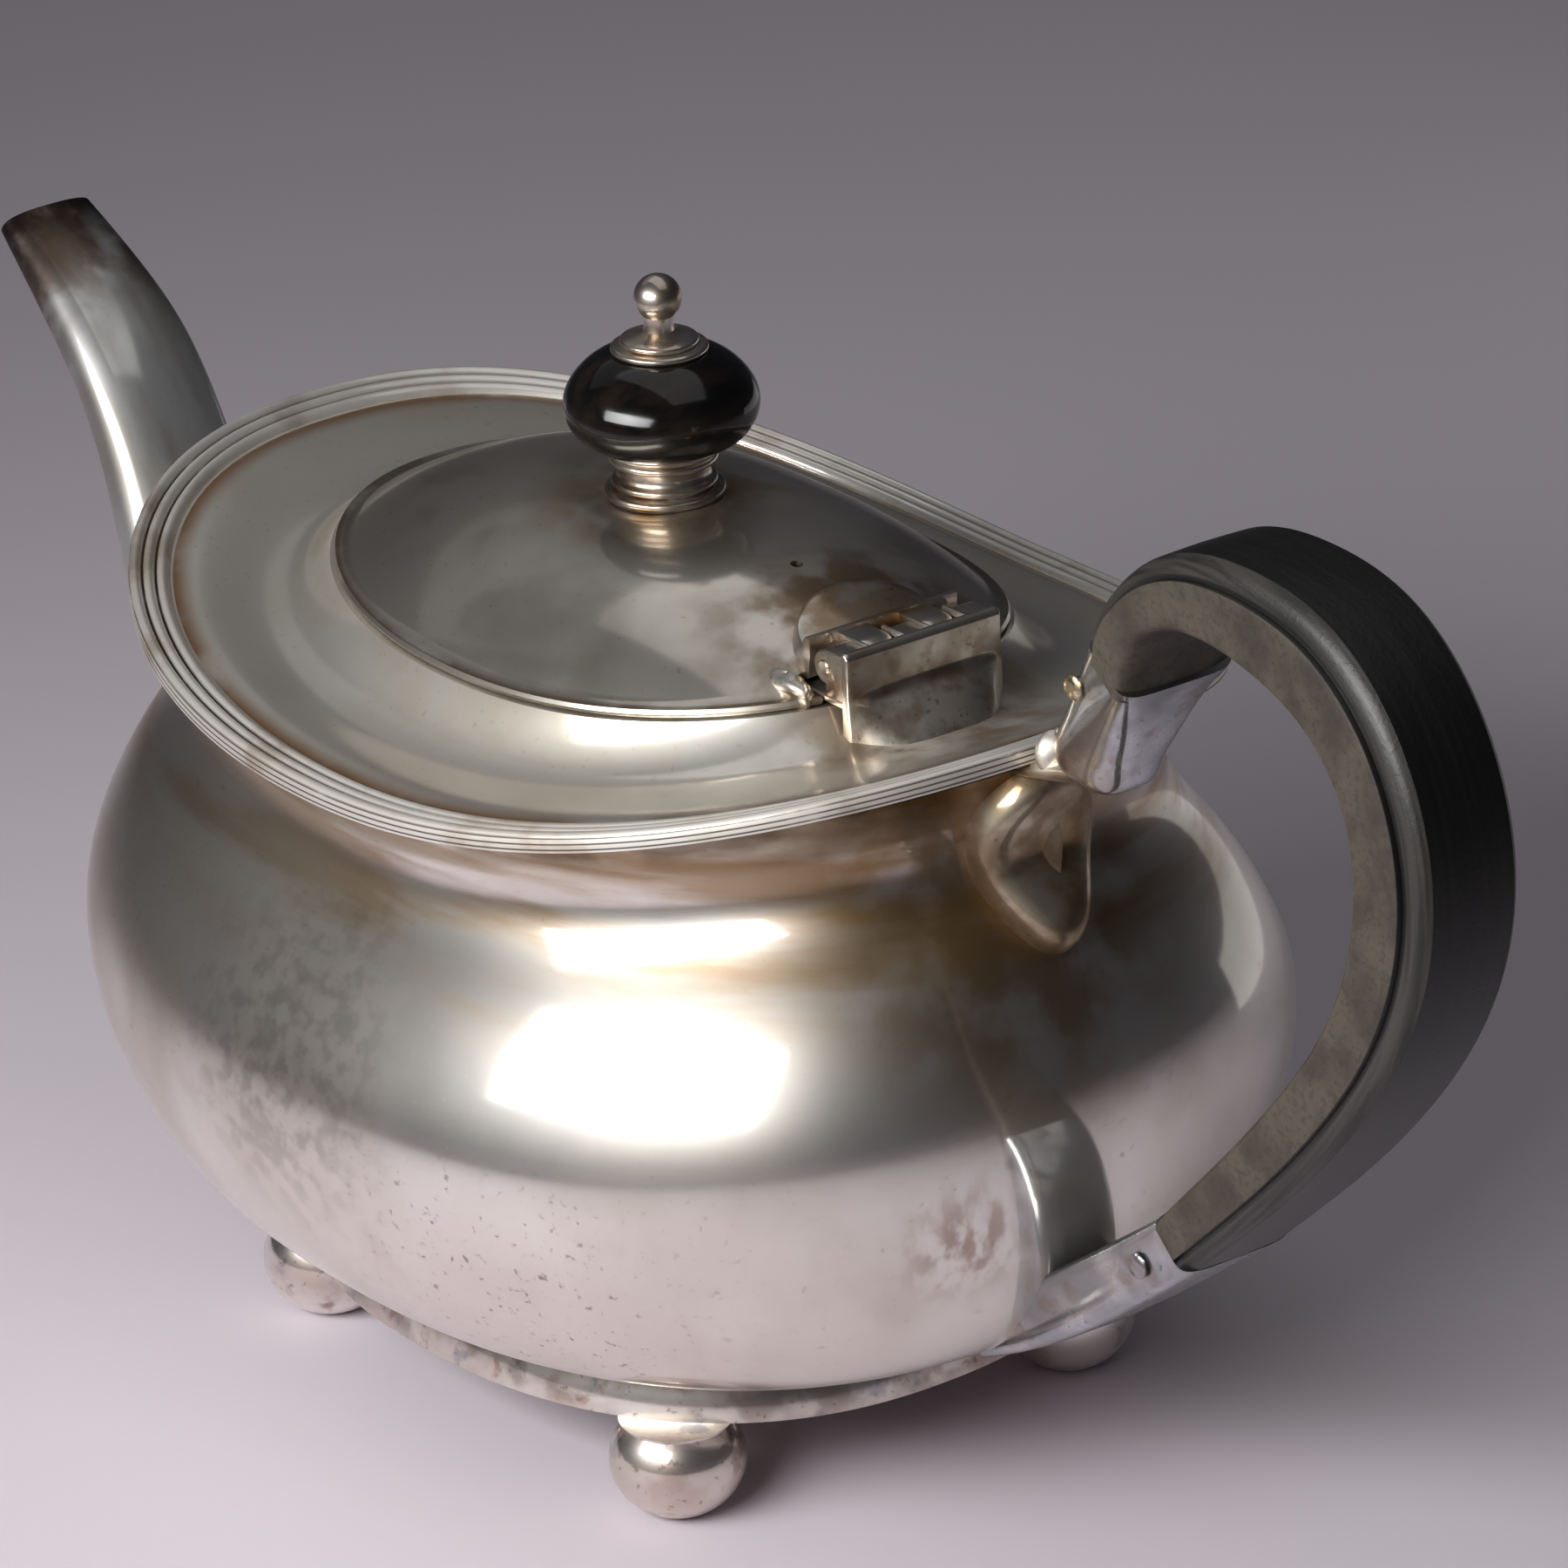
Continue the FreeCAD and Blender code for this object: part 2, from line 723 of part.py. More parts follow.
def grip_places():
    return placed(rim_end, grip_upper_sections) + placed(handle_root, grip_lower_sections)


def upper_mouth():
    inner, outer = grip_places()[0]
    return outer, inner


def lower_mouth():
    return grip_places()[-1]


# Mouth, sections below it and pin of each socket
def upper_joint():
    return upper_mouth(), placed(rim_end, upper_socket_sections), from_place(rim_end, upper_pin)


def lower_joint():
    return lower_mouth(), placed(handle_root, lower_socket_sections), from_place(handle_root, lower_pin)


def socket_pin_bars(place, radius, reach):
    centre = Vector(place[0], 0, place[1])
    return bar(centre - Vector(0, reach, 0), centre + Vector(0, reach, 0), radius)


def handle_grip():
    grip = Part.makeLoft([grip_wire(inner, outer) for inner, outer in grip_places()], True, False)
    joints = (upper_joint(), lower_joint())
    grip = grip.fuse([tenon(mouth, sections[0], 0.0) for mouth, sections, pin_place in joints])
    holes = [socket_pin_bars(pin_place, pin_radius + pin_clearance, 2 * grip_half_width)
             for mouth, sections, pin_place in joints]
    return grip.cut(holes)


def socket(mouth, sections, pin_place):
    wires = [cross_section(*mouth, grip_half_width, socket_power, socket_points)]
    wires += [cross_section(*section, socket_power, socket_points) for section in sections]
    cavity = tenon(mouth, sections[0], tenon_clearance)
    hole = socket_pin_bars(pin_place, pin_radius + pin_clearance, 2 * grip_half_width)
    return capped_loft(wires).cut([cavity, hole])


def socket_pin(pin_place):
    head_start = grip_half_width + solder_film
    centre = Vector(pin_place[0], 0, pin_place[1])
    shank = socket_pin_bars(pin_place, pin_radius, head_start)
    heads = []
    for side in (-1, 1):
        start = centre + Vector(0, side * head_start, 0)
        heads.append(bar(start, start + Vector(0, side * pin_head_height, 0), pin_head_radius))
    return shank.fuse(heads).removeSplitter()


# Drop-shaped closed section standing across X
def bracket_wire(x, low, high, half_width):
    points = []
    for step in range(bracket_points):
        angle = 2 * math.pi * step / bracket_points
        up = math.sin(angle)
        across = math.cos(angle) * (1 + bracket_drop * up)
        height = (low + high) / 2 + up * (high - low) / 2
        points.append(Vector(x, half_width * across, height))
    return closed_wire(points)


def bracket_loft(sections):
    wires = []
    for x, low, high, half_width in sections:
        wires.append(bracket_wire(rim_end[0] + x, rim_end[1] + low, rim_end[1] + high, half_width))
    return capped_loft(wires)


def upper_bracket(seat, border, ferrule):
    bracket = bracket_loft(bracket_sections).fuse(bracket_loft(shelf_sections))
    return bracket.cut([seat, border, ferrule])


def build():
    seat = body_block()
    border = rim_moulding()
    ferrule = socket(*upper_joint())
    parts = {
        "body_shell": body_shell(),
        "body_base": body_base(),
        "foot_collar": foot_collar(),
        "rim_moulding": border,
        "shoulder_deck": shoulder_deck(),
        "lid_seat": lid_seat(),
        "spout_shell": spout_shell(seat),
        "upper_bracket": upper_bracket(seat, border, ferrule),
        "upper_socket": ferrule,
        "upper_socket_pin": socket_pin(upper_joint()[2]),
        "lower_socket": socket(*lower_joint()).cut(seat),
        "lower_socket_pin": socket_pin(lower_joint()[2]),
        "handle_grip": handle_grip(),
        "hinge_body_leaf": hinge_body_leaf(),
        "hinge_pin": hinge_pin(),
        "lid_dome": lid_dome(),
        "lid_flange": lid_flange(),
        "hinge_lid_leaf": hinge_lid_leaf(),
        "knob_pedestal": knob_pedestal(),
        "knob_bun": knob_bun(),
        "knob_washer": knob_washer(),
        "knob_finial": knob_finial(),
        "knob_nut": knob_nut(),
    }
    for end, x in (("front", -foot_x), ("back", foot_x)):
        for hand, y in (("right", -foot_y), ("left", foot_y)):
            parts[f"ball_foot_{end}_{hand}"] = ball_foot(x, y)
    return parts


os.makedirs("parts", exist_ok=True)
for name, shape in build().items():
    shape.exportStep(os.path.join("parts", name + ".step"))
    box = shape.BoundBox
    print(f"{name:22s} solids {len(shape.Solids)} valid {shape.isValid()} volume {shape.Volume:9.1f}",
          f"x {box.XMin:.1f} {box.XMax:.1f} y {box.YMin:.1f} {box.YMax:.1f} z {box.ZMin:.1f} {box.ZMax:.1f}")
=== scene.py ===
import math

import bmesh
import bpy
import numpy as np
from mathutils import Matrix, Vector


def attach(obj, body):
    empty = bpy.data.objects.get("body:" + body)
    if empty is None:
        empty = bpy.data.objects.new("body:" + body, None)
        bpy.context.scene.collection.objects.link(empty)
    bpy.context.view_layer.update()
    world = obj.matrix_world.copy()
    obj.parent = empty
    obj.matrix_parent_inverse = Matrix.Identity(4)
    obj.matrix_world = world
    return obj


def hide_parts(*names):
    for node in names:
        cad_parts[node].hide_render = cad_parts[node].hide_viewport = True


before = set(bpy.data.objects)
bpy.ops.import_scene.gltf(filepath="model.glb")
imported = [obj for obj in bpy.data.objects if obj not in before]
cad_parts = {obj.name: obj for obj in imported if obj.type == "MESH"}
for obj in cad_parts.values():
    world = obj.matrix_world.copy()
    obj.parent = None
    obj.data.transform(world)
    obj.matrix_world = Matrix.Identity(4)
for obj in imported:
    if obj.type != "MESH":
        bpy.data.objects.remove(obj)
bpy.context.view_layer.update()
mm = 0.001  # sizes below are in millimetres, as in the CAD part
film = 0.03  # solder film between neighbours
mergeGap = 2e-7  # metres within which points count as one


def linear(hexColour):  # sRGB hex to the linear colour that shaders want
    parts = [int(hexColour[i:i + 2], 16) / 255 for i in (1, 3, 5)]
    return tuple(c / 12.92 if c <= 0.04045 else ((c + 0.055) / 1.055) ** 2.4 for c in parts) + (1.0,)


def addNode(tree, kind, links=None, **settings):  # one node with its settings, input values and links
    node = tree.nodes.new(kind)
    for key, value in settings.items():
        setattr(node, key, value)
    for key, value in (links or {}).items():
        if isinstance(value, bpy.types.NodeSocket):
            tree.links.new(value, node.inputs[key])
        else:
            node.inputs[key].default_value = value
    return node


# camera as the photograph was taken: from beside the handle, a little above the lid
cameraView = {
    "place": (0.85412, -0.61773, 0.52336),
    "azimuth": 53.4416,
    "elevation": 23.2344,
    "roll": -1.9488,
    "lens": 225.581,
    "sensor": 36.0,
    "clip": (0.01, 20.0),
}


def addCamera():
    azimuth, elevation, roll = (math.radians(cameraView[k]) for k in ("azimuth", "elevation", "roll"))
    level = math.cos(elevation)
    back = Vector((math.sin(azimuth) * level, -math.cos(azimuth) * level, math.sin(elevation)))
    right = Vector((math.cos(azimuth), math.sin(azimuth), 0))
    up = back.cross(right)
    right, up = right * math.cos(roll) + up * math.sin(roll), up * math.cos(roll) - right * math.sin(roll)
    data = bpy.data.cameras.new("photoCamera")
    data.lens = cameraView["lens"]
    data.sensor_width = cameraView["sensor"]
    data.clip_start, data.clip_end = cameraView["clip"]
    camera = bpy.data.objects.new("photoCamera", data)
    camera.matrix_world = Matrix((right, up, back)).transposed().to_4x4()
    camera.location = cameraView["place"]
    bpy.context.collection.objects.link(camera)
    bpy.context.scene.camera = camera


addCamera()
print("camera placed")


# shapes shared by several pieces

def addObject(name, mesh):
    piece = bpy.data.objects.new(name, mesh)
    bpy.context.collection.objects.link(piece)
    return piece


def settle(piece):  # modifiers into a plain mesh
    piece.update_tag()
    graph = bpy.context.evaluated_depsgraph_get()
    mesh = bpy.data.meshes.new_from_object(piece.evaluated_get(graph))
    piece.modifiers.clear()
    piece.data = mesh
    return piece


def dress(piece, material, sharpAngle=32):  # doubles merged, faces outward, smooth with crisp edges
    work = bmesh.new()
    work.from_mesh(piece.data)
    bmesh.ops.remove_doubles(work, verts=work.verts, dist=mergeGap)
    bmesh.ops.dissolve_degenerate(work, edges=work.edges, dist=mergeGap / 20)
    bmesh.ops.recalc_face_normals(work, faces=work.faces)
    work.to_mesh(piece.data)
    work.free()
    piece.data.materials.clear()
    piece.data.materials.append(material)
    piece.data.polygons.foreach_set("use_smooth", [True] * len(piece.data.polygons))
    piece.data.set_sharp_from_angle(angle=math.radians(sharpAngle))
    return piece


def smoothLine(points, count):  # cubic of even curvature through the points, spaced by their distance apart
    p = np.array(points, float)
    n = len(p)
    gaps = np.linalg.norm(np.diff(p, axis=0), axis=1)
    t = np.concatenate(([0.0], np.cumsum(gaps)))
    few = min(4, n)  # points that set the slope at each end
    system = np.zeros((n, n))
    aim = np.zeros_like(p)
    for row, part in ((0, slice(0, few)), (n - 1, slice(n - few, n))):
        system[row, row] = 1
        for axis in range(p.shape[1]):
            aim[row, axis] = np.polyval(np.polyder(np.polyfit(t[part], p[part, axis], few - 1)), t[row])
    for i in range(1, n - 1):
        a, b = gaps[i - 1], gaps[i]
        system[i, i - 1:i + 2] = 1 / a, 2 / a + 2 / b, 1 / b
        aim[i] = 3 * ((p[i] - p[i - 1]) / a ** 2 + (p[i + 1] - p[i]) / b ** 2)
    slope = np.linalg.solve(system, aim)
    places = np.linspace(0, t[-1], count)
    span = np.clip(np.searchsorted(t, places, "right") - 1, 0, n - 2)
    h = gaps[span][:, None]
    s = ((places - t[span]) / gaps[span])[:, None]
    return ((1 + 2 * s) * (1 - s) ** 2 * p[span] + s * (1 - s) ** 2 * h * slope[span]
            + s * s * (3 - 2 * s) * p[span + 1] + s * s * (s - 1) * h * slope[span + 1])


def ringAngles(count):
    return [2 * math.pi * j / count for j in range(count)]


def loftMesh(name, loops, ringed=False):  # closed loops joined by quads; ringed joins the last loop to the first
    count = len(loops[0])
    verts = [Vector(p) * mm for loop in loops for p in loop]
    faces = []
    rows = len(loops)
    for k in range(rows if ringed else rows - 1):
        a, b = k * count, (k + 1) % rows * count
        for j in range(count):
            faces.append((a + j, a + (j + 1) % count, b + (j + 1) % count, b + j))
    if not ringed:
        faces.append(tuple(range(count)))
        faces.append(tuple(range((rows - 1) * count, rows * count)))
    mesh = bpy.data.meshes.new(name)
    mesh.from_pydata(verts, [], faces)
    return mesh


def lofted(name, loops, material, sharpAngle=32, ringed=False):
    return dress(addObject(name, loftMesh(name, loops, ringed)), material, sharpAngle)


def turnMesh(name, profile, steps=96):  # (radius, height) profile turned about Z, poles closed by the merge
    return loftMesh(name, [[(radius * math.cos(angle), radius * math.sin(angle), height) for angle in ringAngles(steps)]
                           for radius, height in profile])


def crossPin(name, profile, x, z, material, sharpAngle, steps):  # turned pin laid across the pot
    mesh = turnMesh(name, profile, steps)
    mesh.transform(Matrix.Translation(Vector((x, 0, z)) * mm) @ Matrix.Rotation(math.pi / 2, 4, "X"))
    return dress(addObject(name, mesh), material, sharpAngle)


def arcPoints(centre, radii, first, last, steps):  # part of an ellipse in (radius, height), angles in degrees
    out = []
    for k in range(steps + 1):
        angle = math.radians(first + (last - first) * k / steps)
        out.append((centre[0] + radii[0] * math.cos(angle), centre[1] + radii[1] * math.sin(angle)))
    return out


def superLoop(back, front, halfWidth, power, count):  # flat rounded section between two points of the middle plane
    middle = ((back[0] + front[0]) / 2, (back[1] + front[1]) / 2)
    depth = ((front[0] - back[0]) / 2, (front[1] - back[1]) / 2)
    loop = []
    for angle in ringAngles(count):
        c, s = math.cos(angle), math.sin(angle)
        swell = (abs(c) ** power + abs(s) ** power) ** (-1 / power)
        loop.append((middle[0] + depth[0] * swell * c, halfWidth * swell * s, middle[1] + depth[1] * swell * c))
    return loop


# every tree takes one geometry, its sizes by name and a metal
def newTree(name, takes, gives, sizes):
    tree = bpy.data.node_groups.new(name, "GeometryNodeTree")
    tree.interface.new_socket(takes, in_out="INPUT", socket_type="NodeSocketGeometry")
    ids = {}
    for size, kind in {**sizes, "Metal": "NodeSocketMaterial"}.items():
        ids[size] = tree.interface.new_socket(size, in_out="INPUT", socket_type=kind).identifier
    tree.interface.new_socket(gives, in_out="OUTPUT", socket_type="NodeSocketGeometry")
    return tree, ids, addNode(tree, "NodeGroupInput").outputs


def endTree(tree, geometry, metal, gives):  # plain geometry with its metal
    real = addNode(tree, "GeometryNodeRealizeInstances", {"Geometry": geometry}).outputs[0]
    done = addNode(tree, "GeometryNodeSetMaterial", {"Geometry": real, "Material": metal}).outputs[0]
    addNode(tree, "NodeGroupOutput", {gives: done})


def runTree(piece, tree, ids, values):  # inputs set by identifier, result made a plain mesh
    maker = piece.modifiers.new(tree.name, "NODES")
    maker.node_group = tree
    for key, value in values.items():
        maker[ids[key]] = value
    return settle(piece)


# Geometry Nodes tree that raises an oval piece from its profile line
# each profile point holds half length, half width and height as its position, and end rise, power and
# distance across the profile as attributes
def ovalRaiser():
    tree, ids, put = newTree("raiseOval", "Profile", "Oval",
                             {"Steps": "NodeSocketInt", "Rim Half Length": "NodeSocketFloat"})
    rows = addNode(tree, "GeometryNodeAttributeDomainSize", {"Geometry": put["Profile"]}).outputs["Point Count"]
    columns = addNode(tree, "ShaderNodeMath", {0: put["Steps"], 1: 1.0}, operation="ADD").outputs[0]
    grid = addNode(tree, "GeometryNodeMeshGrid", {"Vertices X": rows, "Vertices Y": columns}).outputs["Mesh"]
    index = addNode(tree, "GeometryNodeInputIndex").outputs[0]
    share = addNode(tree, "ShaderNodeMath", {0: index, 1: columns}, operation="DIVIDE").outputs[0]
    row = addNode(tree, "ShaderNodeMath", {0: share}, operation="FLOOR").outputs[0]
    column = addNode(tree, "ShaderNodeMath", {0: index, 1: columns}, operation="FLOORED_MODULO").outputs[0]
    turn = addNode(tree, "ShaderNodeMath", {0: column, 1: put["Steps"]}, operation="DIVIDE").outputs[0]
    angle = addNode(tree, "ShaderNodeMath", {0: turn, 1: 2 * math.pi}, operation="MULTIPLY").outputs[0]
    position = addNode(tree, "GeometryNodeInputPosition").outputs[0]
    level = addNode(tree, "GeometryNodeSampleIndex", {"Geometry": put["Profile"], "Value": position, "Index": row},
                    data_type="FLOAT_VECTOR").outputs[0]
    sampled = {}
    for name in ("endRise", "power", "across"):
        named = addNode(tree, "GeometryNodeInputNamedAttribute", {"Name": name}, data_type="FLOAT").outputs[0]
        sampled[name] = addNode(tree, "GeometryNodeSampleIndex",
                                {"Geometry": put["Profile"], "Value": named, "Index": row},
                                data_type="FLOAT").outputs[0]
    sizes = addNode(tree, "ShaderNodeSeparateXYZ", {0: level}).outputs
    cosine = addNode(tree, "ShaderNodeMath", {0: angle}, operation="COSINE").outputs[0]
    sine = addNode(tree, "ShaderNodeMath", {0: angle}, operation="SINE").outputs[0]
    terms = []
    for wave, half in ((cosine, sizes["X"]), (sine, sizes["Y"])):
        part = addNode(tree, "ShaderNodeMath", {0: wave, 1: half}, operation="DIVIDE").outputs[0]
        size = addNode(tree, "ShaderNodeMath", {0: part}, operation="ABSOLUTE").outputs[0]
        terms.append(addNode(tree, "ShaderNodeMath", {0: size, 1: sampled["power"]}, operation="POWER").outputs[0])
    total = addNode(tree, "ShaderNodeMath", {0: terms[0], 1: terms[1]}, operation="ADD").outputs[0]
    root = addNode(tree, "ShaderNodeMath", {0: -1.0, 1: sampled["power"]}, operation="DIVIDE").outputs[0]
    radius = addNode(tree, "ShaderNodeMath", {0: total, 1: root}, operation="POWER").outputs[0]
    x = addNode(tree, "ShaderNodeMath", {0: radius, 1: cosine}, operation="MULTIPLY").outputs[0]
    y = addNode(tree, "ShaderNodeMath", {0: radius, 1: sine}, operation="MULTIPLY").outputs[0]
    along = addNode(tree, "ShaderNodeMath", {0: x, 1: put["Rim Half Length"]}, operation="DIVIDE").outputs[0]
    square = addNode(tree, "ShaderNodeMath", {0: along, 1: along}, operation="MULTIPLY").outputs[0]
    z = addNode(tree, "ShaderNodeMath", {0: square, 1: sampled["endRise"], 2: sizes["Z"]},
                operation="MULTIPLY_ADD").outputs[0]
    spot = addNode(tree, "ShaderNodeCombineXYZ", {"X": x, "Y": y, "Z": z}).outputs[0]
    raised = addNode(tree, "GeometryNodeSetPosition", {"Geometry": grid, "Position": spot}).outputs[0]
    marked = addNode(tree, "GeometryNodeStoreNamedAttribute",
                     {"Geometry": raised, "Name": "across", "Value": sampled["across"]},
                     data_type="FLOAT", domain="POINT").outputs[0]
    closed = addNode(tree, "GeometryNodeMergeByDistance", {"Geometry": marked, "Distance": mergeGap}).outputs[0]
    endTree(tree, closed, put["Metal"], "Oval")
    return tree, ids


ovalTree, ovalInputs = ovalRaiser()
ovalSteps = 192


def raiseOval(name, rows, material, sharpAngle=32):  # rows of half length, half width, height, end rise, power
    mesh = bpy.data.meshes.new(name)
    mesh.from_pydata([Vector(row[:3]) * mm for row in rows], [(i, i + 1) for i in range(len(rows) - 1)], [])
    moves = np.diff([row[1:3] for row in rows], axis=0)
    across = np.concatenate(([0.0], np.cumsum(np.linalg.norm(moves, axis=1)))) * mm
    marks = {"endRise": [row[3] * mm for row in rows], "power": [row[4] for row in rows], "across": across}
    for key, values in marks.items():
        mesh.attributes.new(key, "FLOAT", "POINT").data.foreach_set("value", np.array(values, dtype=np.float32))
    piece = runTree(addObject(name, mesh), ovalTree, ovalInputs,
                    {"Steps": ovalSteps, "Rim Half Length": border["halfLength"] * mm, "Metal": material})
    return dress(piece, material, sharpAngle)


def ovalStrip(name, halfLength, halfWidth, top, wall, height, material):  # upright strip under the lid's edge
    a, b = halfLength - wall, halfWidth - wall
    corners = [(halfLength, halfWidth, top), (a, b, top), (a, b, top - height), (halfLength, halfWidth, top - height)]
    rows = [(*corner, lid["endRise"], lid["power"]) for corner in corners]
    return raiseOval(name, rows + rows[:1], material)


def carve(piece, cutters, material):  # cutters taken out of a piece, then removed
    for cutter in cutters:
        cut = piece.modifiers.new("carve", "BOOLEAN")
        cut.operation = "DIFFERENCE"
        cut.solver = "EXACT"
        cut.object = cutter
    settle(piece)
    for cutter in cutters:
        bpy.data.objects.remove(cutter)
    return dress(piece, material)


def joined(name, meshes, material, sharpAngle=32):
    work = bmesh.new()
    for mesh in meshes:
        work.from_mesh(mesh)
    whole = bpy.data.meshes.new(name)
    work.to_mesh(whole)
    work.free()
    return dress(addObject(name, whole), material, sharpAngle)


def place(piece, body, slot, *nodes):  # rides on its body and stands for its CAD nodes
    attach(piece, body)
    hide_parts(*nodes)


# materials

def newMaterial(name):
    material = bpy.data.materials.new(name)
    material.use_nodes = True
    material.node_tree.nodes.clear()
    return material, material.node_tree


def perMetre(size):  # pattern scale for a real size in millimetres
    return 1 / (size * mm)


# a layer's mask kept only where it lies: near a point, in a band across the profile, or beyond a level on an axis
def keepWhere(tree, coords, mask, kind, *spots):
    if kind == "near":
        point, inner, outer = spots
        value = addNode(tree, "ShaderNodeVectorMath", {0: coords, 1: Vector(point) * mm},
                        operation="DISTANCE").outputs["Value"]
        edges = [(outer, inner)]
    elif kind == "across":
        low, high, soft = spots
        value = addNode(tree, "ShaderNodeAttribute", attribute_name="across").outputs["Fac"]
        edges = [(low - soft, low + soft), (high + soft, high - soft)]
    else:
        axis, none, full = spots
        value = addNode(tree, "ShaderNodeSeparateXYZ", {0: coords}).outputs[axis]
        edges = [(none, full)]
    for none, full in edges:
        rise = addNode(tree, "ShaderNodeMapRange", {"Value": value, "From Min": none * mm, "From Max": full * mm},
                       interpolation_type="SMOOTHSTEP").outputs[0]
        mask = addNode(tree, "ShaderNodeMath", {0: mask, 1: rise}, operation="MULTIPLY").outputs[0]
    return mask


# old silver: a sharp polish under a broad haze, with layers of tarnish, stain and pitting over it
# patch is the size of a layer's pattern in millimetres and the two noise levels between which it comes in
def agedSilver(name, look):
    material, tree = newMaterial(name)
    coords = addNode(tree, "ShaderNodeTexCoord").outputs["Object"]
    cloud = addNode(tree, "ShaderNodeTexNoise",
                    {"Vector": coords, "Scale": perMetre(look["cloud"]), "Detail": 4.0}).outputs["Fac"]
    dullness = addNode(tree, "ShaderNodeMapRange", {"Value": cloud, "From Min": 0.35, "From Max": 0.65},
                       interpolation_type="SMOOTHSTEP").outputs[0]
    colour = addNode(tree, "ShaderNodeMix", {0: dullness, 6: linear(look["bright"]), 7: linear(look["dull"])},
                     data_type="RGBA").outputs[2]
    clear, hazy = look["haze"]
    haze = addNode(tree, "ShaderNodeMapRange",
                   {"Value": cloud, "From Min": 0.3, "From Max": 0.7, "To Min": clear, "To Max": hazy},
                   interpolation_type="SMOOTHSTEP").outputs[0]
    for layer in look["layers"]:
        size, low, high = layer["patch"]
        spread = coords
        if "stretch" in layer:
            spread = addNode(tree, "ShaderNodeVectorMath", {0: coords, 1: layer["stretch"]},
                             operation="MULTIPLY").outputs[0]
        patch = addNode(tree, "ShaderNodeTexNoise",
                        {"Vector": spread, "Scale": perMetre(size), "Detail": 4.0}).outputs["Fac"]
        mask = addNode(tree, "ShaderNodeMapRange",
                       {"Value": patch, "From Min": low, "From Max": high, "To Max": layer["amount"]},
                       interpolation_type="SMOOTHSTEP").outputs[0]
        if "where" in layer:
            mask = keepWhere(tree, coords, mask, *layer["where"])
        colour = addNode(tree, "ShaderNodeMix", {0: mask, 6: colour, 7: linear(layer["colour"])},
                         data_type="RGBA").outputs[2]
        haze = addNode(tree, "ShaderNodeMix", {0: mask, 2: haze, 3: layer.get("haze", layerHaze)}).outputs[0]
    lines = addNode(tree, "ShaderNodeVectorMath", {0: coords, 1: look["grain"]}, operation="MULTIPLY").outputs[0]
    grain = addNode(tree, "ShaderNodeTexNoise",
                    {"Vector": lines, "Scale": perMetre(brushWidth), "Detail": 2.0}).outputs["Fac"]
    wide, deep = look["wobble"]
    wobble = addNode(tree, "ShaderNodeTexNoise",
                     {"Vector": coords, "Scale": perMetre(wide), "Detail": 1.0}).outputs["Fac"]
    bent = addNode(tree, "ShaderNodeBump", {"Height": wobble, "Strength": 1.0, "Distance": deep * mm}).outputs[0]
    brushed = addNode(tree, "ShaderNodeBump", {"Height": grain, "Strength": 1.0, "Distance": look["scratch"] * mm,
                                               "Normal": bent}).outputs[0]
    sharp, broad = (addNode(tree, "ShaderNodeBsdfPrincipled", {"Base Color": colour, "Normal": brushed,
                                                               "Metallic": 1.0, "Roughness": look[key]}).outputs[0]
                    for key in ("polish", "broad"))
    both = addNode(tree, "ShaderNodeMixShader", {0: haze, 1: sharp, 2: broad}).outputs[0]
    addNode(tree, "ShaderNodeOutputMaterial", {"Surface": both})
    return material


layerHaze = 0.75  # how hazy a layer is that doesn't say
brushWidth = 1.0  # coarser than real brush lines, so that they show
levelBrush = (0.03, 0.03, 0.9)  # brush lines that run level round the pot
silverBelly = agedSilver("handRaisedSilver", {  # bright below, streaked brown under the border, grey bloom on one side
    "bright": "#F6F1EA", "dull": "#E6DFD6", "cloud": 34, "haze": (0.3, 0.5), "polish": 0.09, "broad": 0.42,
    "grain": levelBrush, "scratch": 0.0035, "wobble": (26, 0.05),
    "layers": [
        {"colour": "#9A7848", "where": ("across", 60, 90, 7), "patch": (9, 0.36, 0.64), "amount": 0.75,
         "stretch": (0.25, 0.25, 2.2)},
        {"colour": "#5E4526", "where": ("across", 80, 90, 2), "patch": (8, 0.35, 0.6), "amount": 0.7},
        {"colour": "#6B6963", "where": ("near", (3, -58, 57), 5, 28), "patch": (2.6, 0.4, 0.66), "amount": 0.42,
         "haze": 0.6},
        {"colour": "#B2A999", "where": ("near", (-28, -50, 64), 12, 46), "patch": (19, 0.3, 0.66), "amount": 0.6,
         "haze": 0.9},
        {"colour": "#55493D", "where": ("near", (36, -50, 34), 10, 36), "patch": (1.1, 0.62, 0.7), "amount": 0.55},
        {"colour": "#8A6248", "where": ("near", (75.5, -17, 45), 2, 11), "patch": (2.2, 0.4, 0.64), "amount": 0.6,
         "stretch": (1, 1, 0.5), "haze": 0.5},
        {"colour": "#8A6A38", "where": ("near", (69, -6, 82), 14, 32), "patch": (9, 0.26, 0.56), "amount": 0.75},
        {"colour": "#8C7A66", "patch": (0.9, 0.64, 0.72), "amount": 0.3},
        {"colour": "#B4A794", "patch": (21, 0.48, 0.74), "amount": 0.3}]})
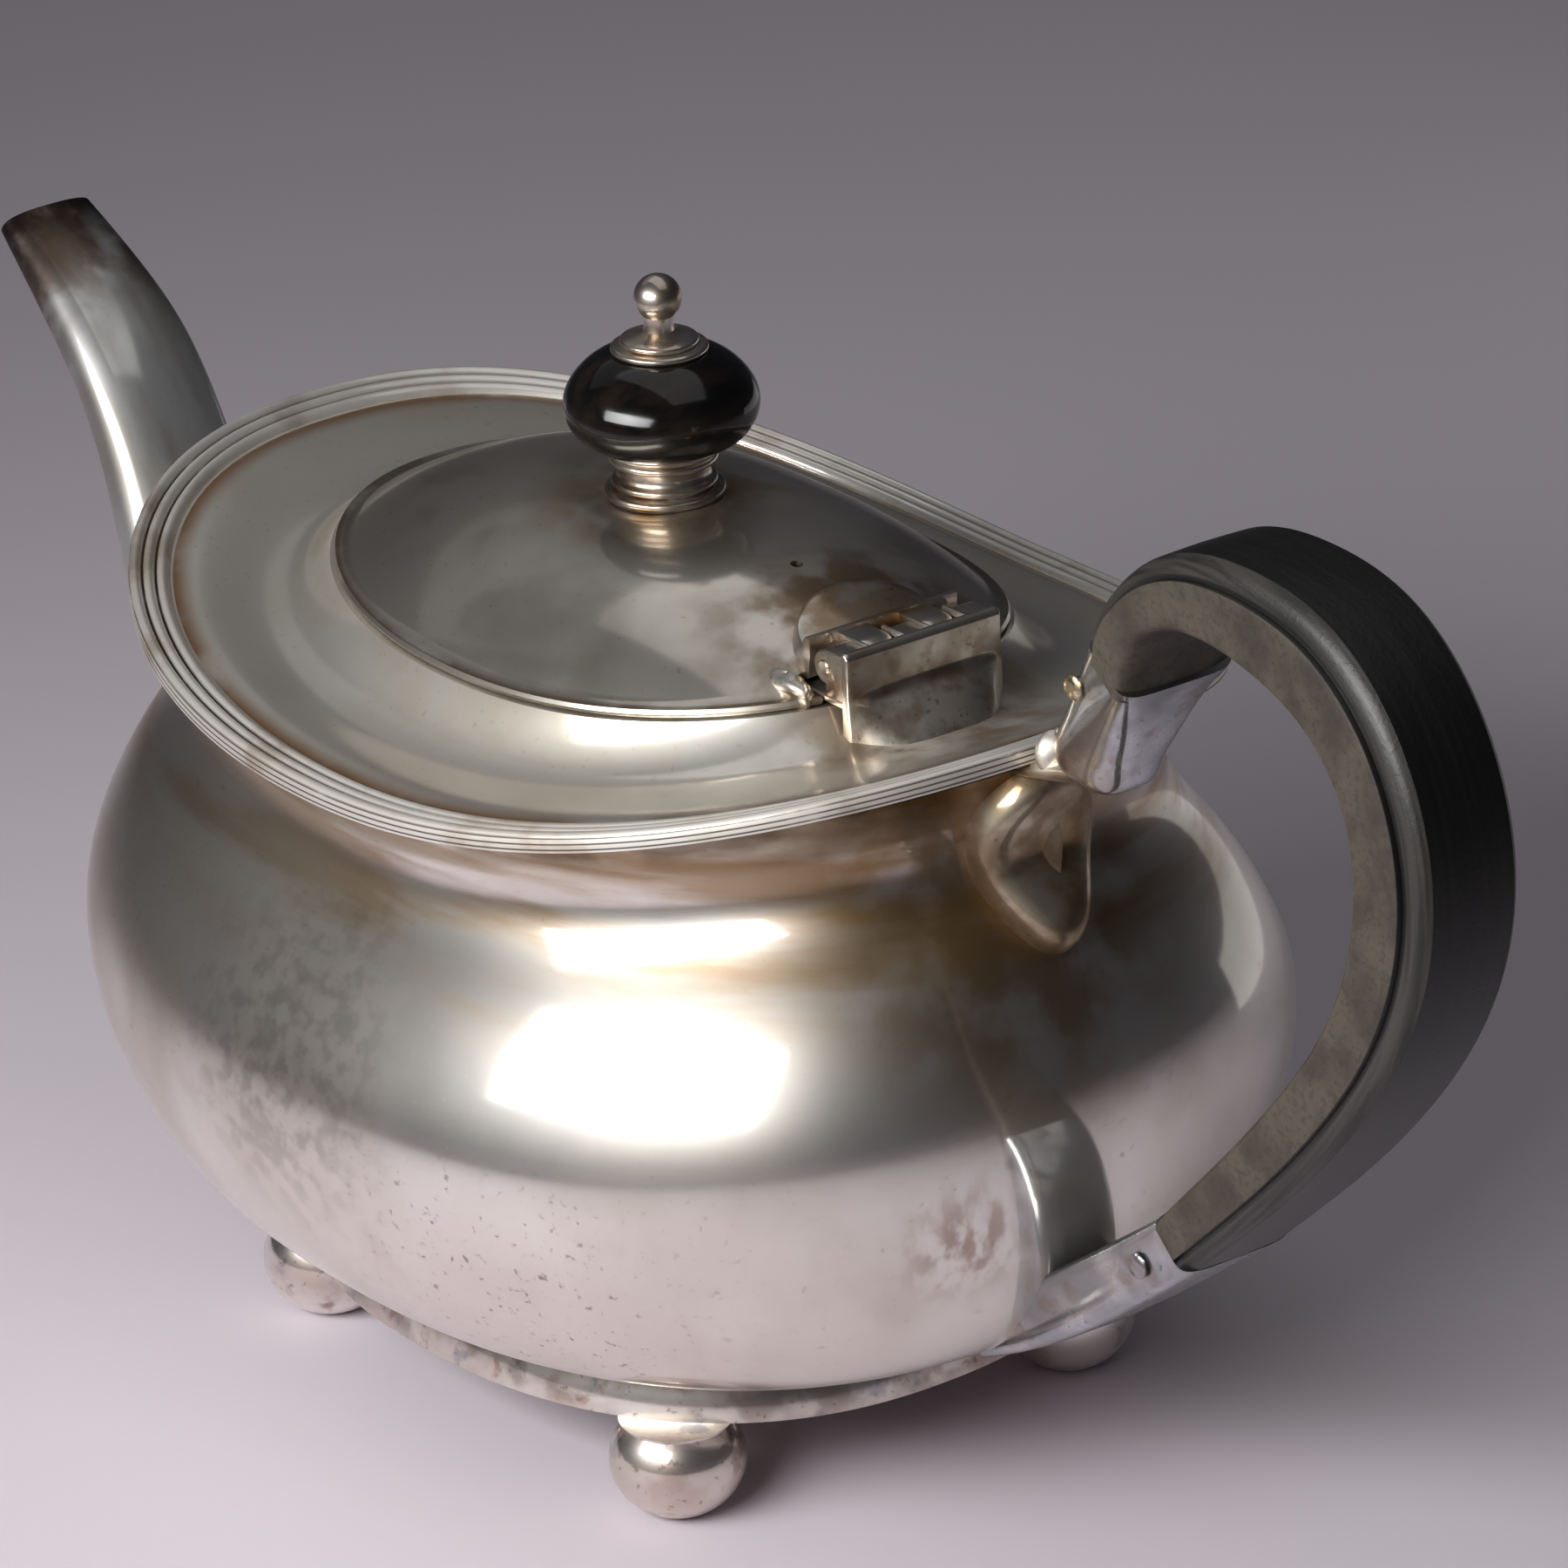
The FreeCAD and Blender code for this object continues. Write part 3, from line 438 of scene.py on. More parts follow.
silverDeck = agedSilver("polishedDeckSilver", {  # hazy polish with brown stain in the groove and by the hinge
    "bright": "#EDE9E1", "dull": "#D9D4CA", "cloud": 26, "haze": (0.4, 0.6), "polish": 0.17, "broad": 0.6,
    "grain": (0.08, 0.08, 0.5), "scratch": 0.003, "wobble": (22, 0.04),
    "layers": [
        {"colour": "#A88C5E", "where": ("across", -1, 8, 4), "patch": (22, 0.36, 0.66), "amount": 0.25},
        {"colour": "#885A26", "where": ("across", -1, 1.6, 1.2), "patch": (14, 0.2, 0.5), "amount": 0.85},
        {"colour": "#7E5E34", "where": ("near", (49, 0, 97), 9, 24), "patch": (7, 0.34, 0.6), "amount": 0.7},
        {"colour": "#D9D3CA", "where": ("near", (53, -7, 97), 3, 6), "patch": (4, 0.3, 0.45), "amount": 0.8,
         "haze": 0.95},
        # painted shade on the cove that climbs to the lid
        {"colour": "#9C8A6C", "where": ("across", 13, 22, 2), "patch": (15, 0.4, 0.65), "amount": 0.32},
        {"colour": "#8B8378", "patch": (1.0, 0.64, 0.72), "amount": 0.35}]})
silverLid = agedSilver("polishedLidSilver", {  # softer glow than the deck, straw and brown stain round knob and hinge
    "bright": "#E8E1D6", "dull": "#CBC4B8", "cloud": 24, "haze": (0.46, 0.68), "polish": 0.11, "broad": 0.42,
    "grain": (0.1, 0.1, 0.4), "scratch": 0.003, "wobble": (20, 0.04),
    "layers": [
        {"colour": "#9C7E4C", "where": ("near", (0, 0, 108), 7, 19), "patch": (8, 0.3, 0.6), "amount": 0.8},
        {"colour": "#7C5A30", "where": ("near", (39, 0, 102), 9, 24), "patch": (6, 0.34, 0.6), "amount": 0.8},
        {"colour": "#6E5636", "where": ("across", -1, 1.6, 0.8), "patch": (10, 0.35, 0.55), "amount": 0.7},
        {"colour": "#8A857B", "patch": (15, 0.48, 0.68), "amount": 0.4},
        {"colour": "#6D655A", "patch": (0.9, 0.66, 0.73), "amount": 0.35}]})
silverBorder = agedSilver("reededSilver", {  # bright reeds, dark grooves, black pits along the outer band
    "bright": "#F6F2EC", "dull": "#E2DCD3", "cloud": 18, "haze": (0.6, 0.82), "polish": 0.12, "broad": 0.66,
    "grain": (0.3, 0.3, 0.8), "scratch": 0.003, "wobble": (12, 0.02),
    "layers": [
        {"colour": "#33271A", "where": ("across", 1.5, 1.9, 0.2), "patch": (9, 0.2, 0.5), "amount": 0.8},
        {"colour": "#33271A", "where": ("across", 3.6, 4.2, 0.25), "patch": (9, 0.1, 0.4), "amount": 0.9},
        {"colour": "#33271A", "where": ("across", 5.8, 6.4, 0.25), "patch": (9, 0.1, 0.4), "amount": 0.9},
        {"colour": "#8A6C46", "patch": (11, 0.5, 0.7), "amount": 0.4},
        {"colour": "#15110D", "where": ("across", 0.1, 1.1, 0.3), "patch": (1.3, 0.52, 0.57), "amount": 0.95}]})
silverSpout = agedSilver("drawnSpoutSilver", {  # cool grey flanks, tip browned by years of hot tea
    "bright": "#E4E4E2", "dull": "#CCCBC8", "cloud": 22, "haze": (0.48, 0.68), "polish": 0.13, "broad": 0.55,
    "grain": (0.05, 0.6, 0.05), "scratch": 0.003, "wobble": (18, 0.03),
    "layers": [
        {"colour": "#8D8272", "patch": (8, 0.42, 0.66), "stretch": (0.4, 1.6, 0.4), "amount": 0.5},
        {"colour": "#5B4028", "where": ("beyond", 0, -108, -122), "patch": (7, 0.28, 0.56), "amount": 0.85},
        {"colour": "#1E1712", "where": ("beyond", 0, -119, -129), "patch": (5, 0.26, 0.52), "amount": 0.9},
        {"colour": "#6E5638", "where": ("near", (-78, 0, 50), 14, 26), "patch": (7, 0.38, 0.6), "amount": 0.5}]})
silverFoot = agedSilver("stainedFootSilver", {  # rosy brown stain with a little blue where heat coloured it
    "bright": "#F2EDE7", "dull": "#DDD4CA", "cloud": 16, "haze": (0.3, 0.5), "polish": 0.1, "broad": 0.4,
    "grain": (0.2, 0.2, 0.7), "scratch": 0.003, "wobble": (9, 0.03),
    "layers": [
        {"colour": "#9A7460", "patch": (9, 0.44, 0.68), "amount": 0.42},
        {"colour": "#5E4430", "where": ("beyond", 2, 10, 14), "patch": (6, 0.42, 0.6), "amount": 0.55},
        {"colour": "#5F6E8C", "patch": (5, 0.58, 0.68), "amount": 0.4, "haze": 0.4},
        {"colour": "#7C3F2C", "patch": (4, 0.6, 0.7), "amount": 0.4, "haze": 0.4},
        {"colour": "#4B3A2C", "patch": (0.9, 0.62, 0.7), "amount": 0.5}]})
silverCast = agedSilver("castFittingSilver", {  # blue grey sockets painted darker, a painted reflection of the dark room they face, with copper showing at the edges
    "bright": "#CDCED1", "dull": "#A2A4A9", "cloud": 9, "haze": (0.2, 0.38), "polish": 0.1, "broad": 0.38,
    "grain": (0.4, 0.4, 0.6), "scratch": 0.004, "wobble": (7, 0.03),
    "layers": [
        {"colour": "#8C745C", "patch": (5, 0.5, 0.68), "amount": 0.45},
        {"colour": "#C8A58A", "where": ("near", (77, -5, 101), 1, 6), "patch": (4, 0.34, 0.56), "amount": 0.6},
        {"colour": "#3F3833", "patch": (0.8, 0.63, 0.7), "amount": 0.5}]})
silverTurned = agedSilver("turnedKnobSilver", {  # warm bright mouldings, straw stain in their grooves
    "bright": "#E6DED4", "dull": "#C9BEB2", "cloud": 7, "haze": (0.3, 0.5), "polish": 0.12, "broad": 0.4,
    "grain": (0.1, 0.1, 1.0), "scratch": 0.003, "wobble": (6, 0.02),
    "layers": [
        {"colour": "#8E7048", "patch": (4, 0.44, 0.64), "amount": 0.5},
        {"colour": "#5A4328", "where": ("near", (0, 0, 108), 6, 9), "patch": (3, 0.36, 0.6), "amount": 0.5}]})
silverHinge = agedSilver("hingeSilver", {  # bright crown, darker brown towards the foot
    "bright": "#E6DFD5", "dull": "#C8BDAF", "cloud": 6, "haze": (0.26, 0.45), "polish": 0.12, "broad": 0.4,
    "grain": (0.5, 0.1, 0.5), "scratch": 0.004, "wobble": (6, 0.03),
    "layers": [
        {"colour": "#6C4A28", "where": ("beyond", 2, 103.4, 99.5), "patch": (5, 0.3, 0.6), "amount": 0.75},
        {"colour": "#8A6434", "where": ("near", (34, 0, 103), 7, 11), "patch": (6, 0.3, 0.55), "amount": 0.6},
        {"colour": "#D6CEC2", "where": ("beyond", 2, 99.9, 99.0), "patch": (5, 0.28, 0.5), "amount": 0.8,
         "haze": 0.95},
        {"colour": "#E4DCCF", "where": ("near", (48, -12.4, 97), 3, 4.4), "patch": (3, 0.2, 0.45), "amount": 0.8,
         "haze": 0.9},
        {"colour": "#E9E4DB", "where": ("near", (40, -13, 100), 4, 5.4), "patch": (2.5, 0.2, 0.45), "amount": 0.9,
         "haze": 0.95},
        {"colour": "#8A6A44", "patch": (4, 0.48, 0.66), "amount": 0.5},
        {"colour": "#2E2318", "patch": (0.8, 0.64, 0.7), "amount": 0.4}]})
silverStained = agedSilver("solderedFittingSilver", {  # bracket browned by the heat of soldering
    "bright": "#CFC3AF", "dull": "#9E8A6C", "cloud": 8, "haze": (0.42, 0.6), "polish": 0.13, "broad": 0.52,
    "grain": (0.4, 0.4, 0.6), "scratch": 0.004, "wobble": (7, 0.03),
    "layers": [
        {"colour": "#6B5034", "patch": (7, 0.4, 0.62), "amount": 0.65},
        {"colour": "#E4DED4", "where": ("near", (74.5, 0, 101), 4.6, 5.8), "patch": (3, 0.2, 0.45), "amount": 0.9,
         "haze": 0.9},
        {"colour": "#3A2C1E", "patch": (0.9, 0.66, 0.73), "amount": 0.35}]})

# sizes of patterns in millimetres, as in every look below
pinLook = {"bright": "#DACDB0", "dull": "#A8926C", "cloud": 0.8, "rough": (0.22, 0.4)}


def turnedBrass():  # pale gold pin heads
    material, tree = newMaterial("turnedBrass")
    coords = addNode(tree, "ShaderNodeTexCoord").outputs["Object"]
    cloud = addNode(tree, "ShaderNodeTexNoise",
                    {"Vector": coords, "Scale": perMetre(pinLook["cloud"]), "Detail": 3.0}).outputs["Fac"]
    tint = addNode(tree, "ShaderNodeMapRange", {"Value": cloud, "From Min": 0.35, "From Max": 0.65},
                   interpolation_type="SMOOTHSTEP").outputs[0]
    colour = addNode(tree, "ShaderNodeMix", {0: tint, 6: linear(pinLook["bright"]), 7: linear(pinLook["dull"])},
                     data_type="RGBA").outputs[2]
    polished, rubbed = pinLook["rough"]
    rough = addNode(tree, "ShaderNodeMapRange", {"Value": tint, "To Min": polished, "To Max": rubbed},
                    interpolation_type="SMOOTHSTEP").outputs[0]
    brassShader = addNode(tree, "ShaderNodeBsdfPrincipled",
                          {"Base Color": colour, "Roughness": rough, "Metallic": 1.0}).outputs[0]
    addNode(tree, "ShaderNodeOutputMaterial", {"Surface": brassShader})
    return material


gripLook = {
    "cheek": ("#352F27", "#4B4338"), "ripple": "#2B261F", "fleck": "#241F19", "back": ("#0F0E0D", "#171614"),
    # the bead's brushed grey is lighter than the black back: its own streaked wood, with a painted sheen over it
    "bead": ("#23211F", "#3B3834"), "rough": (0.42, 0.58), "mottleSize": 7, "fleckSize": 0.7, "rippleSize": 1.9635,
    "streakSize": 1.0, "streakRun": (0.05, 1.2, 1.2), "rippleAmount": 0.12, "fleckAmount": 0.4, "fleckDepth": 0.02,
    "streakDepth": 0.03,
}


def handleEbony():  # olive mottled cheeks, a brushed bead and a smooth black back
    material, tree = newMaterial("waxedEbony")
    along = addNode(tree, "ShaderNodeAttribute", attribute_name="grain").outputs["Vector"]
    onCheek = addNode(tree, "ShaderNodeAttribute", attribute_name="cheek").outputs["Fac"]
    onBead = addNode(tree, "ShaderNodeAttribute", attribute_name="bead").outputs["Fac"]
    clouds = addNode(tree, "ShaderNodeTexNoise",
                     {"Vector": along, "Scale": perMetre(gripLook["mottleSize"]), "Detail": 5.0}).outputs["Fac"]
    mottle = addNode(tree, "ShaderNodeMapRange", {"Value": clouds, "From Min": 0.36, "From Max": 0.64},
                     interpolation_type="SMOOTHSTEP").outputs[0]
    dots = addNode(tree, "ShaderNodeTexNoise",
                   {"Vector": along, "Scale": perMetre(gripLook["fleckSize"]), "Detail": 2.0}).outputs["Fac"]
    fleck = addNode(tree, "ShaderNodeMapRange", {"Value": dots, "From Min": 0.5, "From Max": 0.66},
                    interpolation_type="SMOOTHSTEP").outputs[0]
    bands = addNode(tree, "ShaderNodeTexWave",  # its bands lie pi / 10 of a unit of scale apart
                    {"Vector": along, "Scale": perMetre(gripLook["rippleSize"]) * math.pi / 10, "Distortion": 9.0,
                     "Detail": 2.0, "Detail Scale": 1.4}, bands_direction="X").outputs["Fac"]
    drawn = addNode(tree, "ShaderNodeVectorMath", {0: along, 1: gripLook["streakRun"]},
                    operation="MULTIPLY").outputs[0]
    streak = addNode(tree, "ShaderNodeTexNoise",
                     {"Vector": drawn, "Scale": perMetre(gripLook["streakSize"]), "Detail": 3.0}).outputs["Fac"]
    first, second = (linear(colour) for colour in gripLook["cheek"])
    cheek = addNode(tree, "ShaderNodeMix", {0: mottle, 6: first, 7: second}, data_type="RGBA").outputs[2]
    ripple = addNode(tree, "ShaderNodeMapRange",
                     {"Value": bands, "From Min": 0.6, "From Max": 0.95, "To Max": gripLook["rippleAmount"]},
                     interpolation_type="SMOOTHSTEP").outputs[0]
    flecks = addNode(tree, "ShaderNodeMapRange", {"Value": fleck, "To Max": gripLook["fleckAmount"]},
                     interpolation_type="SMOOTHSTEP").outputs[0]
    for mask, key in ((ripple, "ripple"), (flecks, "fleck")):
        cheek = addNode(tree, "ShaderNodeMix", {0: mask, 6: cheek, 7: linear(gripLook[key])},
                        data_type="RGBA").outputs[2]
    streaked = []
    for key, high in (("back", 0.7), ("bead", 0.65)):
        mask = addNode(tree, "ShaderNodeMapRange", {"Value": streak, "From Min": 0.35, "From Max": high},
                       interpolation_type="SMOOTHSTEP").outputs[0]
        first, second = (linear(colour) for colour in gripLook[key])
        streaked.append(addNode(tree, "ShaderNodeMix", {0: mask, 6: first, 7: second}, data_type="RGBA").outputs[2])
    dark = addNode(tree, "ShaderNodeMix", {0: onBead, 6: streaked[0], 7: streaked[1]}, data_type="RGBA").outputs[2]
    colour = addNode(tree, "ShaderNodeMix", {0: onCheek, 6: dark, 7: cheek}, data_type="RGBA").outputs[2]
    waxed, dry = gripLook["rough"]
    rough = addNode(tree, "ShaderNodeMapRange", {"Value": onCheek, "To Min": waxed, "To Max": dry},
                    interpolation_type="SMOOTHSTEP").outputs[0]
    fine = addNode(tree, "ShaderNodeBump",
                   {"Height": fleck, "Strength": 0.5, "Distance": gripLook["fleckDepth"] * mm}).outputs[0]
    lines = addNode(tree, "ShaderNodeBump", {"Height": streak, "Strength": 0.8,
                                             "Distance": gripLook["streakDepth"] * mm, "Normal": fine}).outputs[0]
    wood = addNode(tree, "ShaderNodeBsdfPrincipled",
                   {"Base Color": colour, "Roughness": rough, "Normal": lines}).outputs[0]
    addNode(tree, "ShaderNodeOutputMaterial", {"Surface": wood})
    return material


bunLook = {"dark": "#0B0A09", "warm": "#1C1612", "rough": (0.07, 0.15), "grainSize": 3.0, "grainRun": (1.0, 0.2, 1.0),
           "dullSize": 5.0, "lineSize": 0.9, "lineRun": (0.05, 0.05, 1.0), "lineDepth": 0.006}


def bunEbony():  # near black with a deep polish and faint turning lines
    material, tree = newMaterial("polishedEbony")
    coords = addNode(tree, "ShaderNodeTexCoord").outputs["Object"]
    runs = {}
    for key, detail in (("grain", 4.0), ("line", 2.0)):
        drawn = addNode(tree, "ShaderNodeVectorMath", {0: coords, 1: bunLook[key + "Run"]},
                        operation="MULTIPLY").outputs[0]
        size = perMetre(bunLook[key + "Size"])
        runs[key] = addNode(tree, "ShaderNodeTexNoise",
                            {"Vector": drawn, "Scale": size, "Detail": detail}).outputs["Fac"]
    tint = addNode(tree, "ShaderNodeMapRange", {"Value": runs["grain"], "From Min": 0.4, "From Max": 0.7},
                   interpolation_type="SMOOTHSTEP").outputs[0]
    colour = addNode(tree, "ShaderNodeMix", {0: tint, 6: linear(bunLook["dark"]), 7: linear(bunLook["warm"])},
                     data_type="RGBA").outputs[2]
    cloud = addNode(tree, "ShaderNodeTexNoise",
                    {"Vector": coords, "Scale": perMetre(bunLook["dullSize"]), "Detail": 3.0}).outputs["Fac"]
    polished, dull = bunLook["rough"]
    rough = addNode(tree, "ShaderNodeMapRange",
                    {"Value": cloud, "From Min": 0.4, "From Max": 0.65, "To Min": polished, "To Max": dull},
                    interpolation_type="SMOOTHSTEP").outputs[0]
    lines = addNode(tree, "ShaderNodeBump", {"Height": runs["line"], "Distance": bunLook["lineDepth"] * mm}).outputs[0]
    wood = addNode(tree, "ShaderNodeBsdfPrincipled",
                   {"Base Color": colour, "Roughness": rough, "Normal": lines}).outputs[0]
    addNode(tree, "ShaderNodeOutputMaterial", {"Surface": wood})
    return material


brass = turnedBrass()
ebony = handleEbony()
blackEbony = bunEbony()
print("materials made")


# belly and neck, raised from one sheet up to the border
border = {
    "halfLength": 72.0, "halfWidth": 53.6, "height": 87.6, "endRise": 12.7, "power": 2.3, "low": 85.4, "width": 4.6,
    "band": 1.7, "reeds": 3, "reedHeight": 0.7, "reedPower": 0.8, "reedSteps": 8, "sharpAngle": 40,
}
belly = {
    "levels": [(47.0, 39.2, 21.7), (73.8, 58.0, 33.8), (78.9, 60.7, 50.8),
               (72.6, 54.1, 64.3), (65.0, 46.6, 76.3), (70.2, 51.8, 85.4)],
    "wall": 0.9, "risePower": 1.2, "outerRows": 90, "innerRows": 38, "shy": 0.04,
    "swell": (0.95, 68.5, 7.0),  # fuller shoulder under the neck: depth, height and spread of it
    "skinRows": 241, "liftRounds": 12, "sink": 0.998,  # how closely other pieces are seated on the skin
    "strainer": {"radius": 1.6, "pitch": 5.2, "rows": 5, "height": 55.8, "depth": 30.0, "start": -79.8, "around": 24},
}


def bodyLift(height):
    low = belly["levels"][0][2]
    share = max(0.0, (height - low) / (border["height"] - low))
    return border["endRise"] * share ** belly["risePower"]


def bellyRows(inset, count):
    line = smoothLine(belly["levels"], count)
    slopes = np.gradient(line, axis=0)
    depth, middle, spread = belly["swell"]
    rows = []
    for k, (level, slope) in enumerate(zip(line, slopes)):
        steep = math.hypot(slope[0], slope[2])
        inward, upward = inset * slope[2] / steep, inset * slope[0] / steep
        if k in (0, count - 1):
            inward, upward = inset, 0.0
        inward += belly["shy"] - depth * math.exp(-((level[2] - middle) / spread) ** 2)
        rows.append((level[0] - inward, level[1] - inward, level[2] + upward, bodyLift(level[2]), border["power"]))
    return rows


# strainer holes behind the spout: a drill repeated over a hexagon of points
def strainerDrills():
    holes = belly["strainer"]
    tree, ids, put = newTree("strainerDrills", "Places", "Drills",
                             {"Hole Radius": "NodeSocketFloat", "Depth": "NodeSocketFloat"})
    drill = addNode(tree, "GeometryNodeMeshCylinder", {"Vertices": holes["around"], "Radius": put["Hole Radius"],
                                                       "Depth": put["Depth"]}).outputs["Mesh"]
    dots = addNode(tree, "GeometryNodeMeshToPoints", {"Mesh": put["Places"]}).outputs[0]
    spread = addNode(tree, "GeometryNodeInstanceOnPoints",
                     {"Points": dots, "Instance": drill, "Rotation": (0.0, math.pi / 2, 0.0)}).outputs[0]
    endTree(tree, spread, put["Metal"], "Drills")
    middle = holes["start"] + holes["depth"] / 2
    spots = []
    for row in range(holes["rows"]):
        offset = row - (holes["rows"] - 1) // 2
        count = holes["rows"] - abs(offset)
        height = holes["height"] + offset * holes["pitch"] * math.sin(math.pi / 3)
        for k in range(count):
            spots.append(Vector((middle, (k - (count - 1) / 2) * holes["pitch"], height)) * mm)
    mesh = bpy.data.meshes.new("strainerDrills")
    mesh.from_pydata(spots, [], [])
    return runTree(addObject("strainerDrills", mesh), tree, ids,
                   {"Hole Radius": holes["radius"] * mm, "Depth": holes["depth"] * mm, "Metal": silverBelly})


def makeBelly():
    outer = bellyRows(0.0, belly["outerRows"])
    inner = bellyRows(belly["wall"], belly["innerRows"])
    piece = raiseOval("bellyAndNeck", outer + inner[::-1] + outer[:1], silverBelly)
    return carve(piece, [strainerDrills()], silverBelly)


place(makeBelly(), "pot", "silver", "body_shell")
print("belly and neck raised")


# which side of the belly's skin a point is on: under 1 inside, over 1 outside
bellyLine = np.array(bellyRows(0.0, belly["skinRows"]))


def bellySide(point):
    x, y, z = point
    height = z
    for k in range(belly["liftRounds"]):
        height = z - bodyLift(height) * (x / border["halfLength"]) ** 2
    height = min(max(height, bellyLine[0, 2]), bellyLine[-1, 2])
    a, b = (np.interp(height, bellyLine[:, 2], bellyLine[:, axis]) for axis in (0, 1))
    return (abs(x / a) ** border["power"] + abs(y / b) ** border["power"]) ** (1 / border["power"])


def seatedLoops(fine, rows):  # columns of a fine loft, each starting where it leaves the belly
    fine = np.array(fine)
    last = len(fine) - 1
    sink = belly["sink"]
    starts = []
    for j in range(fine.shape[1]):
        k = max([i for i in range(len(fine)) if bellySide(fine[i, j]) < sink], default=0)
        if k == last:
            starts.append(last - 1.0)
            continue
        a, b = bellySide(fine[k, j]), bellySide(fine[k + 1, j])
        starts.append(k + min(1.0, max(0.0, (sink - a) / (b - a))) if a < sink else 0.0)
    loops = []
    for row in range(rows):
        loop = []
        for j, start in enumerate(starts):
            spot = start + (last - start) * row / (rows - 1)
            k = min(int(spot), last - 1)
            loop.append(tuple(fine[k, j] + (fine[k + 1, j] - fine[k, j]) * (spot - k)))
        loops.append(loop)
    return loops


# collar under the belly, and four ball feet
collar = {
    "height": 9.8, "wall": 1.0, "top": 21.67, "rows": 16,
    "flare": [(0.0, 0.0), (0.3, 0.4), (1.4, 0.85), (1.6, 1.0)],  # outward, and share of the way down
}
foot = {
    "x": 35.0, "y": 28.8, "radius": 8.0, "neckRadius": 6.2, "neckHeight": 0.6, "flatRadius": 2.6,
    "lip": (0.5, 0.2),  # width and height of the edge that meets the collar
    "steps": 28, "around": 72,
}


def makeCollar():
    a, b = belly["levels"][0][:2]
    flares = smoothLine(collar["flare"], collar["rows"])
    rows = []
    for side, wall in ((flares, 0.0), (flares[::-1], collar["wall"])):
        for flare, drop in side:
            out = flare - wall
            rows.append((a + out, b + out, collar["top"] - collar["height"] * drop, 0.0, border["power"]))
    return raiseOval("footCollar", rows + rows[:1], silverFoot)


def makeFeet():
    top = collar["top"] - collar["height"]
    low, high = -math.acos(foot["flatRadius"] / foot["radius"]), math.acos(foot["neckRadius"] / foot["radius"])
    tall = (top - foot["neckHeight"]) / (math.sin(high) - math.sin(low))
    profile = [(0.0, 0.0)]
    for k in range(foot["steps"] + 1):
        angle = low + (high - low) * k / foot["steps"]
        profile.append((foot["radius"] * math.cos(angle), tall * (math.sin(angle) - math.sin(low))))
    wide, deep = foot["lip"]
    profile += [(foot["neckRadius"], top - deep), (foot["neckRadius"] + wide, top), (0.0, top)]
    piece = dress(addObject("ballFeet", turnMesh("ballFeet", profile, foot["around"])), silverFoot)
    tree, ids, put = newTree("fourFeet", "Foot", "Feet",
                             {"Length Apart": "NodeSocketFloat", "Width Apart": "NodeSocketFloat"})
    corners = addNode(tree, "GeometryNodeMeshGrid", {"Size X": put["Length Apart"], "Size Y": put["Width Apart"],
                                                     "Vertices X": 2, "Vertices Y": 2}).outputs["Mesh"]
    spread = addNode(tree, "GeometryNodeInstanceOnPoints", {"Points": corners, "Instance": put["Foot"]}).outputs[0]
    endTree(tree, spread, put["Metal"], "Feet")
    runTree(piece, tree, ids,
            {"Length Apart": 2 * foot["x"] * mm, "Width Apart": 2 * foot["y"] * mm, "Metal": silverFoot})
    return dress(piece, silverFoot)


place(makeCollar(), "pot", "silver", "foot_collar")
place(makeFeet(), "pot", "silver",
      *[f"ball_foot_{end}_{hand}" for end in ("front", "back") for hand in ("right", "left")])
print("collar and feet placed")


# reeded border round the top
def makeBorder():
    rows = [(border["halfLength"], border["halfWidth"], border["low"])]
    top = border["low"] + border["band"]
    reedWidth, steps = border["width"] / border["reeds"], border["reedSteps"]
    for reed in range(border["reeds"]):
        for k in range(steps + 1):
            inset = reedWidth * (reed + k / steps)
            crown = border["reedHeight"] * math.sin(math.pi * k / steps) ** border["reedPower"]
            rows.append((border["halfLength"] - inset, border["halfWidth"] - inset, top + crown))
    rows.append((border["halfLength"] - border["width"], border["halfWidth"] - border["width"], border["low"]))
    rows = [(*row, border["endRise"], border["power"]) for row in rows]
    return raiseOval("reededBorder", rows + rows[:1], silverBorder, border["sharpAngle"])


place(makeBorder(), "pot", "silver", "rim_moulding")


# deck from the border in to the lid, with its cove and the strip that carries the lid
lid = {
    "halfLength": 45.9, "halfWidth": 32.8, "power": 2.2, "height": 95.8, "endRise": 9.4, "rise": 12.2,
    "domePower": 2.7, "flat": 1.6, "sheet": 0.9, "overlap": 1.6, "gap": 0.3, "hole": 1.6, "rows": 48,
    "innerShare": 0.04, "edgeEase": 0.25, "ventX": 24.9, "ventRadius": 0.7, "ventSpan": (90.0, 115.0),
    "ventAround": 24, "flangeInset": 0.6, "flangeWall": 0.8, "flangeHeight": 3.0,
}
deck = {
    "sheet": 0.9, "groove": 0.6, "coveEndWidth": 4.8, "coveSideWidth": 3.4, "coveHeight": 6.2, "coveTurn": 0.46,
    "coveStart": 0.93, "margin": 0.4, "rows": 48, "seatWall": 0.8, "seatHeight": 2.6,
}


def deckRows():
    ledge = lid["height"] - lid["sheet"] - lid["gap"]
    inset = border["width"] + film
    outer = (border["halfLength"] - inset, border["halfWidth"] - inset, border["height"] - deck["groove"],
             border["endRise"], border["power"])
    edge = (lid["halfLength"] + deck["margin"], lid["halfWidth"] + deck["margin"], ledge, lid["endRise"], lid["power"])
    cove = (edge[0] + deck["coveEndWidth"], edge[1] + deck["coveSideWidth"], ledge - deck["coveHeight"],
            border["endRise"], lid["power"])
    opening = (lid["halfLength"] - lid["overlap"], lid["halfWidth"] - lid["overlap"], ledge,
               lid["endRise"], lid["power"])
    middle = tuple((p + q) / 2 for p, q in zip(outer, cove))
    near = tuple(p + (q - p) * deck["coveStart"] for p, q in zip(outer, cove))
    shares = (deck["coveTurn"], deck["coveTurn"], 1 - deck["coveTurn"], 1 - deck["coveTurn"], 0.0)
    turn = tuple(p + (q - p) * share for p, q, share in zip(edge, cove, shares))
    rows = [tuple(row) for row in smoothLine([outer, middle, near, turn, edge], deck["rows"])]
    return rows + [opening]


